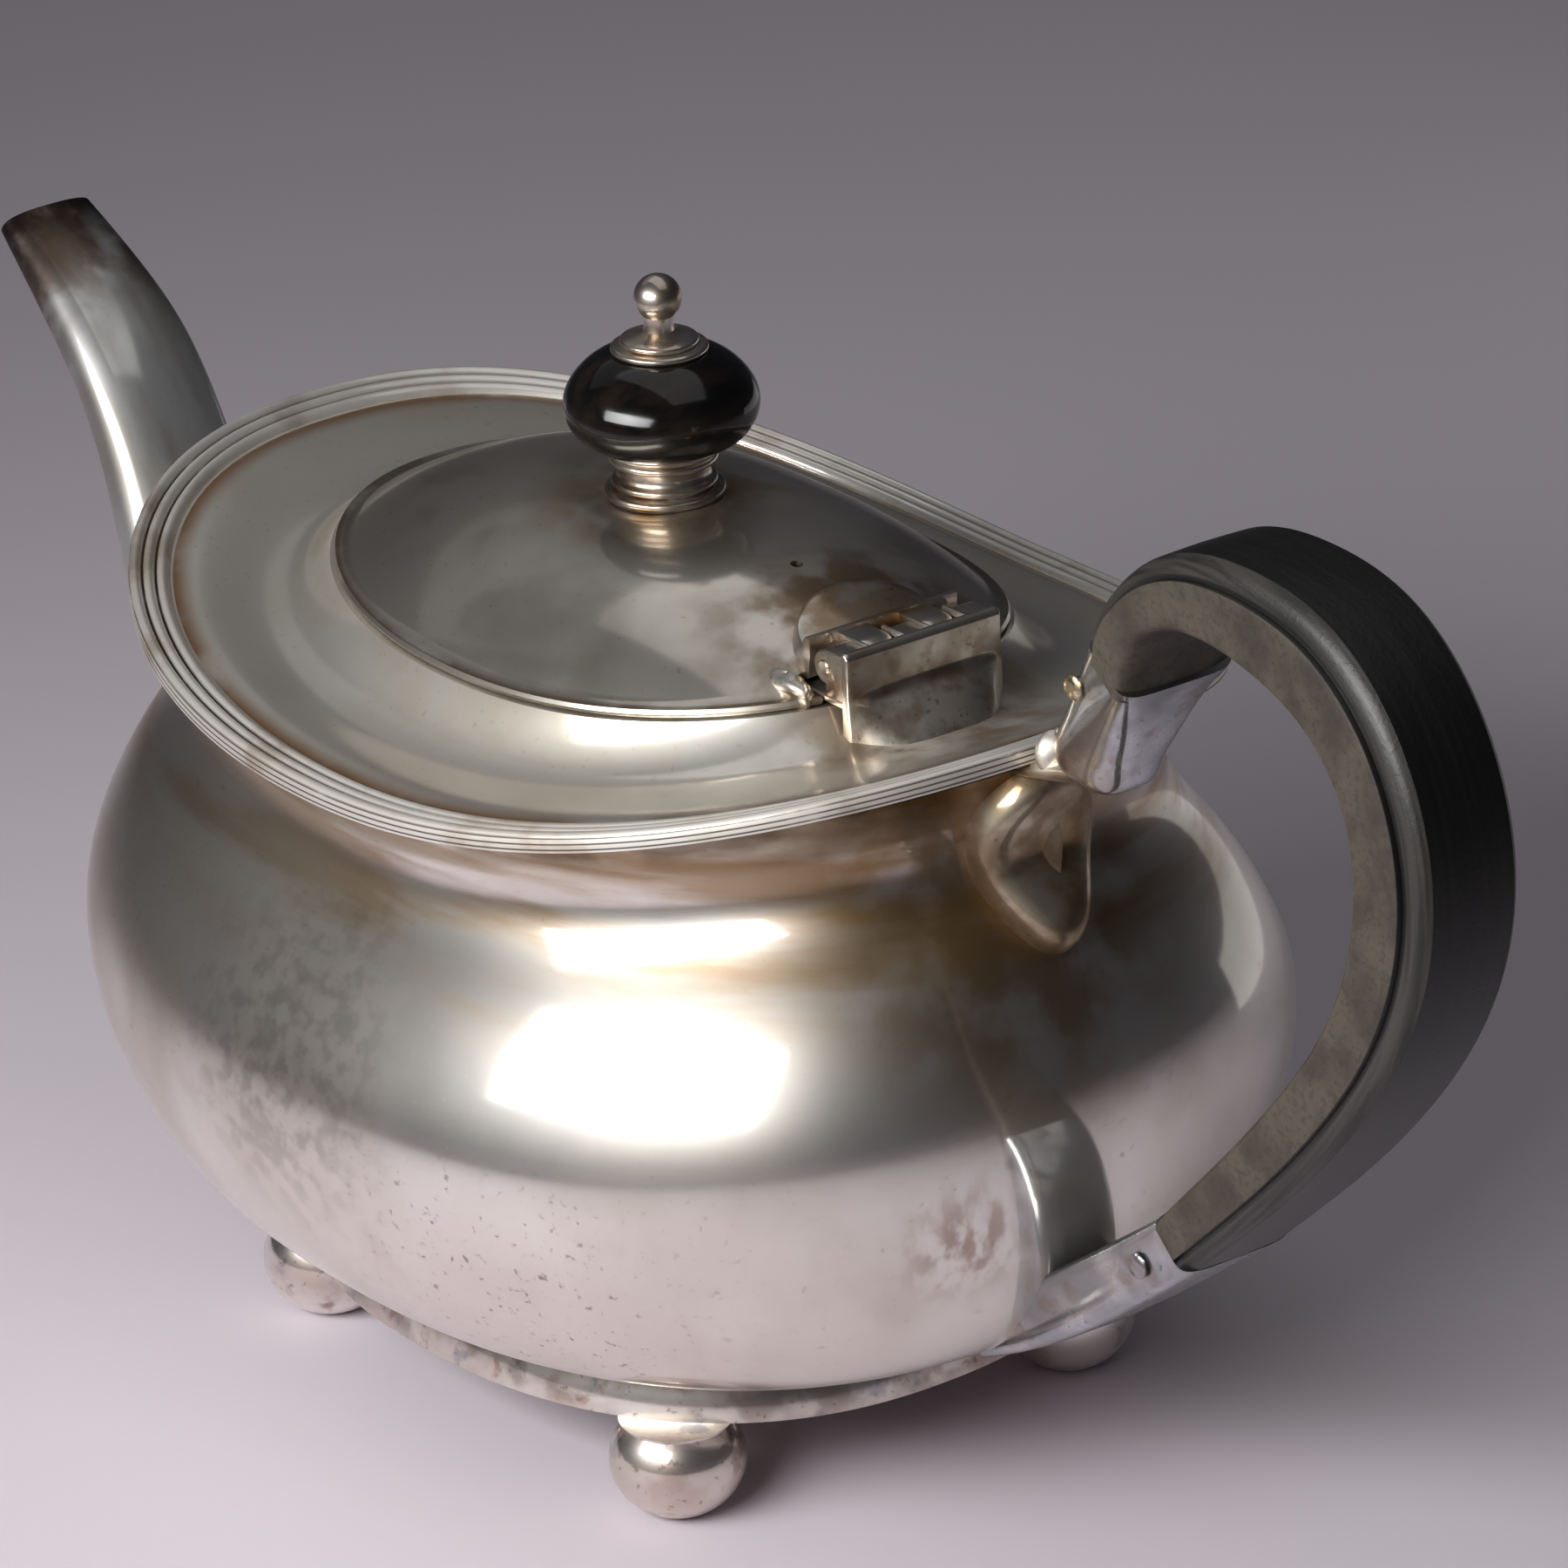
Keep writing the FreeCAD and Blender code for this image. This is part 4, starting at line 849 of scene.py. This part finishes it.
def makeDeck():
    upper = deckRows()
    lower = [(a, b, z - deck["sheet"], rise, power) for a, b, z, rise, power in upper]
    return raiseOval("shoulderDeck", upper + lower[::-1] + upper[:1], silverDeck)


def makeSeat():
    a, b, z = deckRows()[-1][:3]
    wall = deck["seatWall"]
    return ovalStrip("lidSeat", a + wall, b + wall, z - deck["sheet"] - film, wall, deck["seatHeight"], silverDeck)


place(makeDeck(), "pot", "silver", "shoulder_deck")
place(makeSeat(), "pot", "silver", "lid_seat")
print("border and deck placed")


# lid: low dome with a flat edge, a notch for the hinge and a steam hole
hinge = {
    "x": 44.0, "z": 102.8, "length": 21.6, "knuckles": 5, "halfWidth": 4.3, "crown": 2.6, "roll": 2.0,
    "rollSteps": 20, "knuckleInset": 0.2, "gap": 0.15, "rail": 1.2, "plateHeight": 98.7, "plate": 0.8,
    "chamfer": (0.5, 0.6), "rung": 0.6, "rungBox": (1.0, 1.2, 0.15),  # back past the pin, above it, below the crown
    "pin": 0.9, "pinProud": 0.3, "pinChamfer": 0.15, "notchGap": 0.3, "notchBox": (60.0, 85.0, 110.0),
    "pinSharpAngle": 30, "pinAround": 32, "edge": 0.22, "lidEdge": 0.132, "edgeSegments": 3, "edgeAngle": 35,
    "sharpAngle": 50,
    "tongueLength": 8.0, "tongueSheet": 1.9, "tongueBack": 0.9, "tongueRound": 0.14, "tongueRows": 14,
    "tongueColumns": 40, "tongueSunk": 0.1, "solderRise": 0.1,
    "lidRail": [(-1.1, -2.5), (0.8, -2.5), (1.2, 0.2), (1.2, 2.35), (0.4, 2.35), (0.0, 1.85), (-0.1, 0.2),
                (-1.1, -1.0)],  # section of the rail, from the leaf's edge and the pin
    "footLow": 94.0,  # the wall's foot: how far out at which height, and how much of that along its length
    "toe": [(5.6, 93.4), (5.6, 94.4), (4.5, 95.7), (3.2, 97.1), (1.9, 98.5), (0.8, 99.6), (0.2, 100.2), (0.0, 100.7)],
    "foot": [(-1.012, 0.04), (-0.96, 0.12), (-0.86, 0.34), (-0.72, 0.62), (-0.54, 0.86), (-0.32, 0.98), (-0.1, 1.0),
             (0.1, 1.0), (0.32, 0.98), (0.54, 0.86), (0.72, 0.62), (0.86, 0.34), (0.96, 0.12), (1.012, 0.04)],
    "solder": [(39.6, 12.7, 3.4, 1.6, 1.3), (41.6, 12.4, 2.0, 1.2, 1.6)],  # place on the lid and half sizes
}


def domeHeight(share):
    inside = min(1.0, share / (1 - lid["flat"] / lid["halfLength"]))
    return lid["rise"] * (1 - inside ** lid["domePower"])


def lidTop(x, y):
    power = lid["power"]
    share = (abs(x / lid["halfLength"]) ** power + abs(y / lid["halfWidth"]) ** power) ** (1 / power)
    return lid["height"] + domeHeight(share) + lid["endRise"] * (x / border["halfLength"]) ** 2


def hingeNotch():
    half = hinge["length"] / 2 + hinge["notchGap"]
    left = hinge["x"] - hinge["halfWidth"] - hinge["notchGap"]
    right, low, high = hinge["notchBox"]
    corners = [Vector((x, y, z)) * mm for x in (left, right) for y in (-half, half) for z in (low, high)]
    faces = [(0, 1, 3, 2), (4, 6, 7, 5), (0, 4, 5, 1), (2, 3, 7, 6), (0, 2, 6, 4), (1, 5, 7, 3)]
    mesh = bpy.data.meshes.new("hingeNotch")
    mesh.from_pydata(corners, [], faces)
    return addObject("hingeNotch", mesh)


def steamHole():
    radius, (low, high) = lid["ventRadius"], lid["ventSpan"]
    mesh = turnMesh("steamHole", [(0.0, low), (radius, low), (radius, high), (0.0, high)], lid["ventAround"])
    mesh.transform(Matrix.Translation((lid["ventX"] * mm, 0, 0)))
    return dress(addObject("steamHole", mesh), silverLid)


def makeLid():
    upper = []
    for k in range(lid["rows"] + 1):
        share = 1 - (1 - lid["innerShare"]) * k / lid["rows"]
        upper.append((lid["halfLength"] * share, lid["halfWidth"] * share, lid["height"] + domeHeight(share),
                      lid["endRise"], lid["power"]))
    upper.append((lid["hole"], lid["hole"], lid["height"] + lid["rise"], 0.0, 2.0))  # level and round at the knob
    lower = [(a, b, z - lid["sheet"], rise, power) for a, b, z, rise, power in upper]
    a, b, z, *bend = upper[0]
    edge = [(a, b, z - lid["sheet"] / 2, *bend)]
    for rows in (upper, lower):
        rows[0] = (a - lid["edgeEase"], b - lid["edgeEase"], *rows[0][2:])
    piece = raiseOval("lidDome", edge + upper + lower[::-1] + edge, silverLid)
    return carve(piece, [hingeNotch(), steamHole()], silverLid)


def makeFlange():
    inset = lid["overlap"] + lid["flangeInset"]
    top = lid["height"] + domeHeight(1 - inset / lid["halfLength"]) - lid["sheet"] - film
    piece = ovalStrip("lidFlange", lid["halfLength"] - inset, lid["halfWidth"] - inset, top, lid["flangeWall"],
                      lid["flangeHeight"], silverLid)
    return carve(piece, [hingeNotch()], silverLid)


place(makeLid(), "lid", "silver", "lid_dome")
place(makeFlange(), "lid", "silver", "lid_flange")
print("lid raised")


# knob: pedestal, ebony bun, washer and finial turned about the upright axis, and the nut inside the lid
# a profile row is a point, radius and height above its foot, or a bead: its middle, half sizes, angles and steps
knob = {
    "pedestal": {"foot": 108.03, "sharpAngle": 50, "profile": [
        (1.7, 0.0), (6.9, 0.0), (6.6, 0.55, 0.5, 0.55, -70, 90, 8), (6.15, 1.2), (5.75, 1.75, 0.45, 0.5, -80, 90, 7),
        (5.45, 2.5), (5.4, 3.2), (5.45, 3.9), (5.85, 4.55, 0.5, 0.5, -90, 80, 7), (6.05, 5.15),
        (6.3, 5.8, 0.5, 0.55, -80, 80, 8), (6.3, 6.4), (1.7, 6.4), (1.7, 0.0)]},
    "bun": {"foot": 114.43, "sharpAngle": 50, "bore": 1.6, "rows": 40,
            "side": [(6.2, 0.0), (10.6, 2.2), (11.4, 4.8), (10.0, 8.2), (5.7, 11.0)]},
    "washer": {"foot": 125.43, "sharpAngle": 50, "profile": [
        (1.6, 0.0), (5.4, 0.0), (5.25, 0.45, 0.45, 0.45, -90, 90, 8), (1.6, 0.9), (1.6, 0.0)]},
    "finial": {"foot": 126.33, "sharpAngle": 40, "profile": [
        (0.0, -22.83), (1.5, -22.83), (1.5, 0.0), (4.3, 0.0), (4.15, 0.45, 0.45, 0.45, -90, 60, 6), (3.4, 1.05),
        (2.4, 1.35), (1.8, 1.7), (1.7, 2.4), (0.0, 5.6, 2.8, 2.8, -50, 90, 22)]},
    "nut": {"top": 107.07, "sharpAngle": 25, "around": 36, "bore": [(1.6, -2.6), (1.6, 0.0)],
            "outside": [(4.0, 0.0), (4.2, -0.3), (4.2, -2.2), (3.7, -2.6)]},
}


def makeTurned(name, part, material):
    profile = []
    for radius, height, *bead in part["profile"]:
        middle = (radius, part["foot"] + height)
        profile += arcPoints(middle, bead[:2], *bead[2:]) if bead else [middle]
    return dress(addObject(name, turnMesh(name, profile)), material, part["sharpAngle"])


def makeBun():
    bun = knob["bun"]
    side = [tuple(point) for point in smoothLine(bun["side"], bun["rows"])]
    low, high = (bun["bore"], side[0][1]), (bun["bore"], side[-1][1])
    return makeTurned("knobBun", {**bun, "profile": [low, *side, high, low]}, blackEbony)


def makeNut():
    nut = knob["nut"]
    sixth = math.pi / 3
    loops = []
    for radius, height in nut["outside"] + nut["bore"]:
        loop = []
        for angle in ringAngles(nut["around"]):
            flat = math.cos(sixth / 2) / math.cos(angle % sixth - sixth / 2)
            reach = radius if (radius, height) in nut["bore"] else radius * flat
            loop.append((reach * math.cos(angle), reach * math.sin(angle), nut["top"] + height))
        loops.append(loop)
    return lofted("knobNut", loops, silverTurned, nut["sharpAngle"], ringed=True)


place(makeTurned("knobPedestal", knob["pedestal"], silverTurned), "lid", "silver", "knob_pedestal")
place(makeBun(), "lid", "ebony", "knob_bun")
place(makeTurned("knobWasher", knob["washer"], silverTurned), "lid", "silver", "knob_washer")
place(makeTurned("knobFinial", knob["finial"], silverTurned), "lid", "silver", "knob_finial")
place(makeNut(), "lid", "silver", "knob_nut")
print("knob turned")


# spout: a tapering tube of flat oval section, soldered to the belly
spout = {
    "sections": [(-70.0, 68.4, -73.0, 36.8, 13.0), (-84.0, 69.8, -88.0, 46.0, 11.8), (-95.6, 75.3, -102.6, 64.0, 10.0),
                 (-101.4, 84.8, -109.0, 79.8, 8.8), (-109.8, 97.0, -116.4, 91.0, 8.2),
                 (-119.8, 104.6, -124.2, 98.0, 7.2),
                 (-128.4, 108.8, -131.4, 104.8, 6.4)],  # back point, front point and half width
    "power": 2.6, "wall": 0.8, "around": 96, "fine": 300, "rows": 90,
}


def spoutLoops(inset):
    fine = []
    for bx, bz, fx, fz, half in smoothLine(spout["sections"], spout["fine"]):
        long = math.hypot(fx - bx, fz - bz)
        dx, dz = (fx - bx) / long * inset, (fz - bz) / long * inset
        fine.append(superLoop((bx + dx, bz + dz), (fx - dx, fz - dz), half - inset, spout["power"], spout["around"]))
    return seatedLoops(fine, spout["rows"])


place(lofted("spout", spoutLoops(0.0) + spoutLoops(spout["wall"])[::-1], silverSpout, ringed=True),
      "pot", "silver", "spout_shell")
print("spout seated")


# ebony handle: rounded inside, flat cheeks, a groove and a bead along the outside
grip = {
    "sections": [(93.0, 112.3, 86.2, 117.7), (94.6, 118.4, 87.2, 121.4), (101.2, 123.2, 96.4, 130.4),
                 (111.8, 122.9, 112.6, 134.0), (121.2, 119.6, 126.8, 130.8), (127.6, 113.6, 137.4, 120.4),
                 (130.2, 104.4, 141.8, 106.2), (127.8, 91.4, 138.8, 89.8), (119.4, 77.8, 128.0, 73.0),
                 (107.6, 64.4, 114.0, 58.4), (96.4, 52.8, 102.0, 47.6)],  # inner point and outer point
    "halfWidth": 8.0, "outerHalfWidth": 5.7, "beadShare": 0.28, "groove": 0.8, "shy": 0.02, "rows": 170,
    "inside": [(0.0, 0.0), (0.02, 2.0), (0.1, 4.0), (0.25, 5.6), (0.5, 6.8), (0.85, 7.5), (1.3, 7.88), (1.8, 8.0)],
    "lip": [(0.2, 0.0), (0.08, 0.06), (0.0, 0.2)],  # cheek's edge: before the groove and in from the cheek
    "floor": [(0.05, 0.0), (0.4, 0.05)],  # floor of the groove: past its start and in from its side
    "back": [(0.2, 5.7), (0.12, 5.6), (0.08, 4.275), (0.02, 1.995), (0.0, 0.0)],  # below the crown, and half width
    "cheekRows": 6, "beadRows": 9, "beadTurn": 64, "sharpAngle": 30,
}


def gripSection(deep):  # (inward, half width, cheek, bead) down one side, from the inner middle to the outer middle
    side, edge, crown = grip["halfWidth"], grip["outerHalfWidth"], deep - grip["shy"]
    groove = deep * (1 - grip["beadShare"])
    out = [(t, w, 1, 0) for t, w in grip["inside"]]
    start, end = grip["inside"][-1][0], groove - grip["lip"][0][0]
    out += [(start + (end - start) * k / grip["cheekRows"], side, 1, 0) for k in range(1, grip["cheekRows"] + 1)]
    out += [(groove - t, side - w, int(t > 0), 0) for t, w in grip["lip"][1:]]
    out += [(groove + t, side - grip["groove"] - w, 0, 0) for t, w in grip["floor"]]
    low, wide = out[-1][:2]
    high, last = crown - grip["back"][0][0], math.radians(grip["beadTurn"])
    for k in range(1, grip["beadRows"] + 1):  # rounded bead up to a crisp edge
        angle = last * k / grip["beadRows"]
        share = (math.cos(angle) - math.cos(last)) / (1 - math.cos(last))
        out.append((low + (high - low) * math.sin(angle) / math.sin(last), edge + (wide - edge) * share, 0, 1))
    return out + [(crown - t, w, 0, 0) for t, w in grip["back"][1:]]


def makeGrip():
    loops, grain, cheek, bead = [], [], [], []
    run, before = 0.0, None
    for ix, iz, ox, oz in smoothLine(grip["sections"], grip["rows"]):
        deep = math.hypot(ox - ix, oz - iz)
        dx, dz = (ox - ix) / deep, (oz - iz) / deep
        middle = Vector(((ix + ox) / 2, 0, (iz + oz) / 2))
        run += (middle - before).length if before else 0.0
        before = middle
        half = gripSection(deep)
        around = [(t, -w, *rest) for t, w, *rest in half] + half[-2:0:-1]
        loops.append([(ix + dx * t, w, iz + dz * t) for t, w, *rest in around])
        for t, w, onCheek, onBead in around:  # wood grain runs along the handle
            grain += [run * mm, t * mm, w * mm]
            cheek.append(onCheek)
            bead.append(onBead)
    mesh = loftMesh("handleGrip", loops)
    mesh.attributes.new("grain", "FLOAT_VECTOR", "POINT").data.foreach_set("vector", grain)
    for key, values in (("cheek", cheek), ("bead", bead)):
        mesh.attributes.new(key, "FLOAT", "POINT").data.foreach_set("value", np.array(values, dtype=np.float32))
    return dress(addObject("handleGrip", mesh), ebony, grip["sharpAngle"])


place(makeGrip(), "pot", "ebony", "handle_grip")
print("handle shaped")


# silver sockets at the two ends of the handle: back point, front point, half width and squareness
socket = {
    "upper": [(86.7, 118.6, 93.7, 113.3, 8.06, 5.5), (81.4, 111.2, 90.4, 108.2, 6.3, 4.4),
              (77.4, 105.4, 87.8, 103.4, 5.3, 3.6), (75.2, 101.4, 86.2, 100.2, 4.7, 3.4),
              (75.6, 99.4, 85.4, 98.5, 4.3, 3.4), (77.4, 98.5, 84.0, 97.9, 3.4, 3.4)],
    "lower": [(96.4, 52.8, 102.0, 47.6, 8.0, 5.5), (83.4, 43.4, 88.4, 37.4, 6.6, 5.5),
              (69.4, 34.0, 73.4, 27.2, 5.4, 5.5), (56.0, 26.0, 59.0, 19.8, 4.4, 5.5),
              (47.4, 21.4, 48.2, 15.6, 3.8, 5.5)],
    "around": 96, "rows": 60, "fine": 200, "sharpAngle": 40,
}


def socketLoops(end, rows):
    return [superLoop((bx, bz), (fx, fz), half, power, socket["around"])
            for bx, bz, fx, fz, half, power in smoothLine(socket[end], rows)]


upperLoops = socketLoops("upper", socket["rows"])
lowerLoops = seatedLoops(socketLoops("lower", socket["fine"])[::-1], socket["rows"])
place(lofted("upperSocket", upperLoops, silverCast, socket["sharpAngle"]), "pot", "silver", "upper_socket")
place(lofted("lowerSocket", lowerLoops, silverCast, socket["sharpAngle"]), "pot", "silver", "lower_socket")


# drop-shaped bracket lying in the neck, with a shelf from it to the upper socket
bracket = {
    "pad": {"middle": 85.6, "halfHeight": 11.6, "halfWidth": 7.8, "narrow": 0.16},
    "relief": [(0.02, 4.5), (0.3, 4.5), (0.5, 4.45), (0.66, 4.35), (0.78, 4.15), (0.87, 3.8), (0.93, 3.3), (0.97, 2.5),
               (0.99, 1.5), (1.0, 0.5), (1.0, -0.5)],  # share of the way out, and how proud of the neck there
    "shelf": [(66.0, 95.4, 98.2, 4.6), (72.6, 95.8, 98.9, 4.6), (76.4, 96.6, 100.4, 4.4), (80.0, 97.6, 101.0, 4.0)],
    "solder": [(74.5, -2.3, 99.8, 1.9, 2.2, 2.6), (74.5, 2.3, 99.8, 1.9, 2.2, 2.6), (74.2, 0.0, 100.4, 2.2, 3.0, 1.6)],
    "search": (40.0, 95.0), "halvings": 40, "feeler": 0.05,  # for the neck's skin at the handle end
    "around": 96, "shelfRows": 24, "sharpAngle": 40,
}
solder = {"rows": 12, "around": 28, "cap": 0.02, "uneven": (0.09, 0.05)}


def neckPoint(y, z, proud):  # point that stands proud of the neck at the handle end
    low, high = bracket["search"]
    for k in range(bracket["halvings"]):
        x = (low + high) / 2
        low, high = (x, high) if bellySide((x, y, z)) < 1 else (low, x)
    step = bracket["feeler"]
    slope = [bellySide((x + dx, y + dy, z + dz)) - 1 for dx, dy, dz in ((step, 0, 0), (0, step, 0), (0, 0, step))]
    return tuple(Vector((x, y, z)) + Vector(slope).normalized() * proud)


def padLoops():
    pad = bracket["pad"]
    loops = []
    for share, proud in bracket["relief"]:
        loop = []
        for angle in ringAngles(bracket["around"]):
            up = math.sin(angle)
            y = pad["halfWidth"] * share * math.cos(angle) * (1 + pad["narrow"] * up)
            loop.append(neckPoint(y, pad["middle"] + pad["halfHeight"] * share * up, proud))
        loops.append(loop)
    return loops


def shelfLoops():
    return [[(x, half * math.cos(angle), (low + high) / 2 + math.sin(angle) * (high - low) / 2)
             for angle in ringAngles(bracket["around"])]
            for x, low, high, half in smoothLine(bracket["shelf"], bracket["shelfRows"])]


def solderLump(x, y, z, rx, ry, rz):  # uneven blob where solder ran
    oval, corners = solder["uneven"]
    loops = []
    for k in range(solder["rows"] + 1):
        lean = math.pi * (solder["cap"] + (1 - 2 * solder["cap"]) * k / solder["rows"])
        loop = []
        for angle in ringAngles(solder["around"]):
            uneven = 1 + oval * math.sin(2 * angle + x) + corners * math.sin(3 * angle - 2 * lean + y)
            out = uneven * math.sin(lean)
            loop.append((x + rx * out * math.cos(angle), y + ry * out * math.sin(angle),
                         z + rz * uneven * math.cos(lean)))
        loops.append(loop)
    return loftMesh("solder", loops)


def makeBracket():
    meshes = [loftMesh("pad", padLoops()), loftMesh("shelf", shelfLoops())]
    meshes += [solderLump(*lump) for lump in bracket["solder"]]
    return joined("upperBracket", meshes, silverStained, bracket["sharpAngle"])


place(makeBracket(), "pot", "silver", "upper_bracket")


# cross pins with low domed heads
pins = {
    "upper": (83.4, 111.6, 6.7), "lower": (94.0, 46.0, 7.75),  # place and reach of each
    "radius": 1.0, "head": 1.5, "around": 40, "sharpAngle": 50,
    "dome": [(1.0, 0.0), (1.0, 0.2), (0.8, 0.42), (0.4, 0.5), (0.0, 0.5)],  # share of the head, and height on it
}


def makePin(name, spot, material):
    x, z, reach = spot
    cap = [(pins["radius"], reach)] + [(pins["head"] * share, reach + rise) for share, rise in pins["dome"]]
    profile = [(r, -h) for r, h in cap[::-1]] + cap
    return crossPin(name, profile, x, z, material, pins["sharpAngle"], pins["around"])


place(makePin("upperSocketPin", pins["upper"], brass), "pot", "silver", "upper_socket_pin")
place(makePin("lowerSocketPin", pins["lower"], silverCast), "pot", "silver", "lower_socket_pin")
print("sockets and pins placed")


# stand-up hinge: knuckles of the two leaves turn about one pin
def knuckleSpan(index):
    pitch = hinge["length"] / hinge["knuckles"]
    start = -hinge["length"] / 2 + index * pitch
    trim = hinge["gap"] / 2
    return start + trim * (index > 0), start + pitch - trim * (index < hinge["knuckles"] - 1)


def prism(name, outline, start, end):  # outline in (x, z) pushed along Y
    return loftMesh(name, [[(x, y, z) for x, z in outline] for y in (start, end)])


def knuckleOutline(side, drop):  # round on the free side, square towards its own leaf
    roll, wide = hinge["roll"], hinge["halfWidth"] - hinge["knuckleInset"]
    outline = arcPoints((0, 0), (roll, roll), 90, 270, hinge["rollSteps"])
    if drop > roll:
        outline.append((0.0, -drop))
    outline += [(wide, -drop), (wide, roll)]
    return [(hinge["x"] + side * x, hinge["z"] + z) for x, z in outline]


def bevelled(name, meshes, width):
    piece = joined(name, meshes, silverHinge)
    soften = piece.modifiers.new("soften", "BEVEL")
    soften.width = width * mm
    soften.segments = hinge["edgeSegments"]
    soften.angle_limit = math.radians(hinge["edgeAngle"])
    return dress(settle(piece), silverHinge, hinge["sharpAngle"])


def makeBodyLeaf():
    half = hinge["length"] / 2
    left, right = hinge["x"] - hinge["halfWidth"], hinge["x"] + hinge["halfWidth"]
    low, crown = hinge["plateHeight"], hinge["z"] + hinge["crown"]
    inner, floor = right - hinge["rail"], low + hinge["plate"]
    cutX, cutZ = hinge["chamfer"]
    loops = []
    for share, flare in hinge["foot"]:
        toe = [(right + reach * flare, z) for reach, z in hinge["toe"]]
        wall = [(left, low), (inner, low), (inner, hinge["footLow"]), *toe, (right, crown - cutZ),
                (right - cutX, crown), (inner, crown), (inner, floor), (left, floor)]
        loops.append([(x, share * half, z) for x, z in wall])
    meshes = [loftMesh("wall", loops)]
    past, above, below = hinge["rungBox"]
    back, under, over = hinge["x"] - past, hinge["z"] + above, crown - below
    rung = [(back, under), (inner, under), (inner, over), (back, over)]
    for index in range(0, hinge["knuckles"], 2):
        start, end = knuckleSpan(index)
        meshes.append(prism("knuckle", knuckleOutline(1, hinge["z"] - low), start, end))
        edges = ([start] if index else []) + ([end - hinge["rung"]] if index < hinge["knuckles"] - 1 else [])
        meshes += [prism("rung", rung, edge, edge + hinge["rung"]) for edge in edges]
    return bevelled("hingeBodyLeaf", meshes, hinge["edge"])


def tongueLoops(centre, half):  # rounded tongue lying on the lid
    loops = []
    for k in range(hinge["tongueRows"] + 1):
        share = k / hinge["tongueRows"]
        fall = max(0.0, (share - 1 + hinge["tongueRound"]) / hinge["tongueRound"])
        thick = hinge["tongueSheet"] * math.sqrt(max(0.0, 1 - fall ** 2))
        radii = ((hinge["tongueLength"] + hinge["tongueBack"]) * share, half * share)
        upper, under = [], []
        for x, y in arcPoints((centre + hinge["tongueBack"], 0.0), radii, 90, 270, hinge["tongueColumns"]):
            upper.append((x, y, lidTop(x, y) + film + thick))
            under.append((x, y, lidTop(x, y) - hinge["tongueSunk"]))
        loops.append(upper + under[::-1])
    return loops


def makeLidLeaf():
    left = hinge["x"] - hinge["halfWidth"]
    half = hinge["length"] / 2 - hinge["notchGap"]
    meshes = [prism("knuckle", knuckleOutline(-1, hinge["roll"]), *knuckleSpan(index))
              for index in range(1, hinge["knuckles"], 2)]
    meshes.append(loftMesh("tongue", tongueLoops(left - hinge["notchGap"], half)))
    meshes.append(prism("rail", [(left + x, hinge["z"] + z) for x, z in hinge["lidRail"]], -half, half))
    for side in (-1, 1):  # solder run down at both ends
        for x, y, rx, ry, rz in hinge["solder"]:
            meshes.append(solderLump(x, side * y, lidTop(x, y) + hinge["solderRise"], rx, ry, rz))
    return bevelled("hingeLidLeaf", meshes, hinge["lidEdge"])


def makeHingePin():
    reach, radius, cut = hinge["length"] / 2 + hinge["pinProud"], hinge["pin"], hinge["pinChamfer"]
    end = [(radius, reach - cut), (radius - cut, reach), (0.0, reach)]
    profile = [(r, -h) for r, h in end[::-1]] + end
    return crossPin("hingePin", profile, hinge["x"], hinge["z"], silverHinge,
                    hinge["pinSharpAngle"], hinge["pinAround"])


place(makeBodyLeaf(), "pot", "silver", "hinge_body_leaf")
place(makeLidLeaf(), "lid", "silver", "hinge_lid_leaf")
place(makeHingePin(), "pot", "silver", "hinge_pin")
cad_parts["body_base"].data.materials[0] = silverFoot  # the bottom sheet keeps its CAD shape
print("hinge built")


# floor and lights, in metres
studio = {
    "floorHalf": 3.0, "floorColour": "#D8CFD7", "floorRoughness": 0.7, "room": "#2B2B30", "aim": (0.0, 0.0, 0.06),
    "lights": {  # centre, size, power, spread in degrees
        "frontSoftbox": ((0.08, -0.394, 0.268), (0.45, 0.168), 0.9, 90),
        "overheadPanel": ((0.0, 0.14, 1.0), (1.4, 0.7), 1.5, 180),
        "backPanel": ((-0.78, 0.02, 0.85), (0.95, 0.5), 0.21, 180),
        "sideCard": ((-0.03, 0.42, 0.045), (0.36, 0.09), 0.041, 180),
    },
}


def addStage():
    mesh = bpy.data.meshes.new("paperFloor")
    half = studio["floorHalf"]
    mesh.from_pydata([(-half, -half, 0), (half, -half, 0), (half, half, 0), (-half, half, 0)], [], [(0, 1, 2, 3)])
    floor = addObject("paperFloor", mesh)
    material, tree = newMaterial("palePaper")
    paper = addNode(tree, "ShaderNodeBsdfPrincipled", {"Base Color": linear(studio["floorColour"]),
                                                       "Roughness": studio["floorRoughness"]}).outputs[0]
    addNode(tree, "ShaderNodeOutputMaterial", {"Surface": paper})
    mesh.materials.append(material)


def addLight(name, centre, size, power, spread):
    data = bpy.data.lights.new(name, "AREA")
    data.shape = "RECTANGLE"
    data.size, data.size_y = size
    data.energy = power
    data.spread = math.radians(spread)
    light = bpy.data.objects.new(name, data)
    light.location = centre
    light.visible_camera = False
    light.rotation_euler = (Vector(studio["aim"]) - Vector(centre)).to_track_quat("-Z", "Y").to_euler()
    bpy.context.collection.objects.link(light)


addStage()
for lightName, values in studio["lights"].items():
    addLight(lightName, *values)
world = bpy.data.worlds.new("studioRoom")
bpy.context.scene.world = world
world.use_nodes = True
world.node_tree.nodes["Background"].inputs["Color"].default_value = linear(studio["room"])
bpy.context.scene.view_settings.view_transform = "Standard"
print("floor and lights placed")
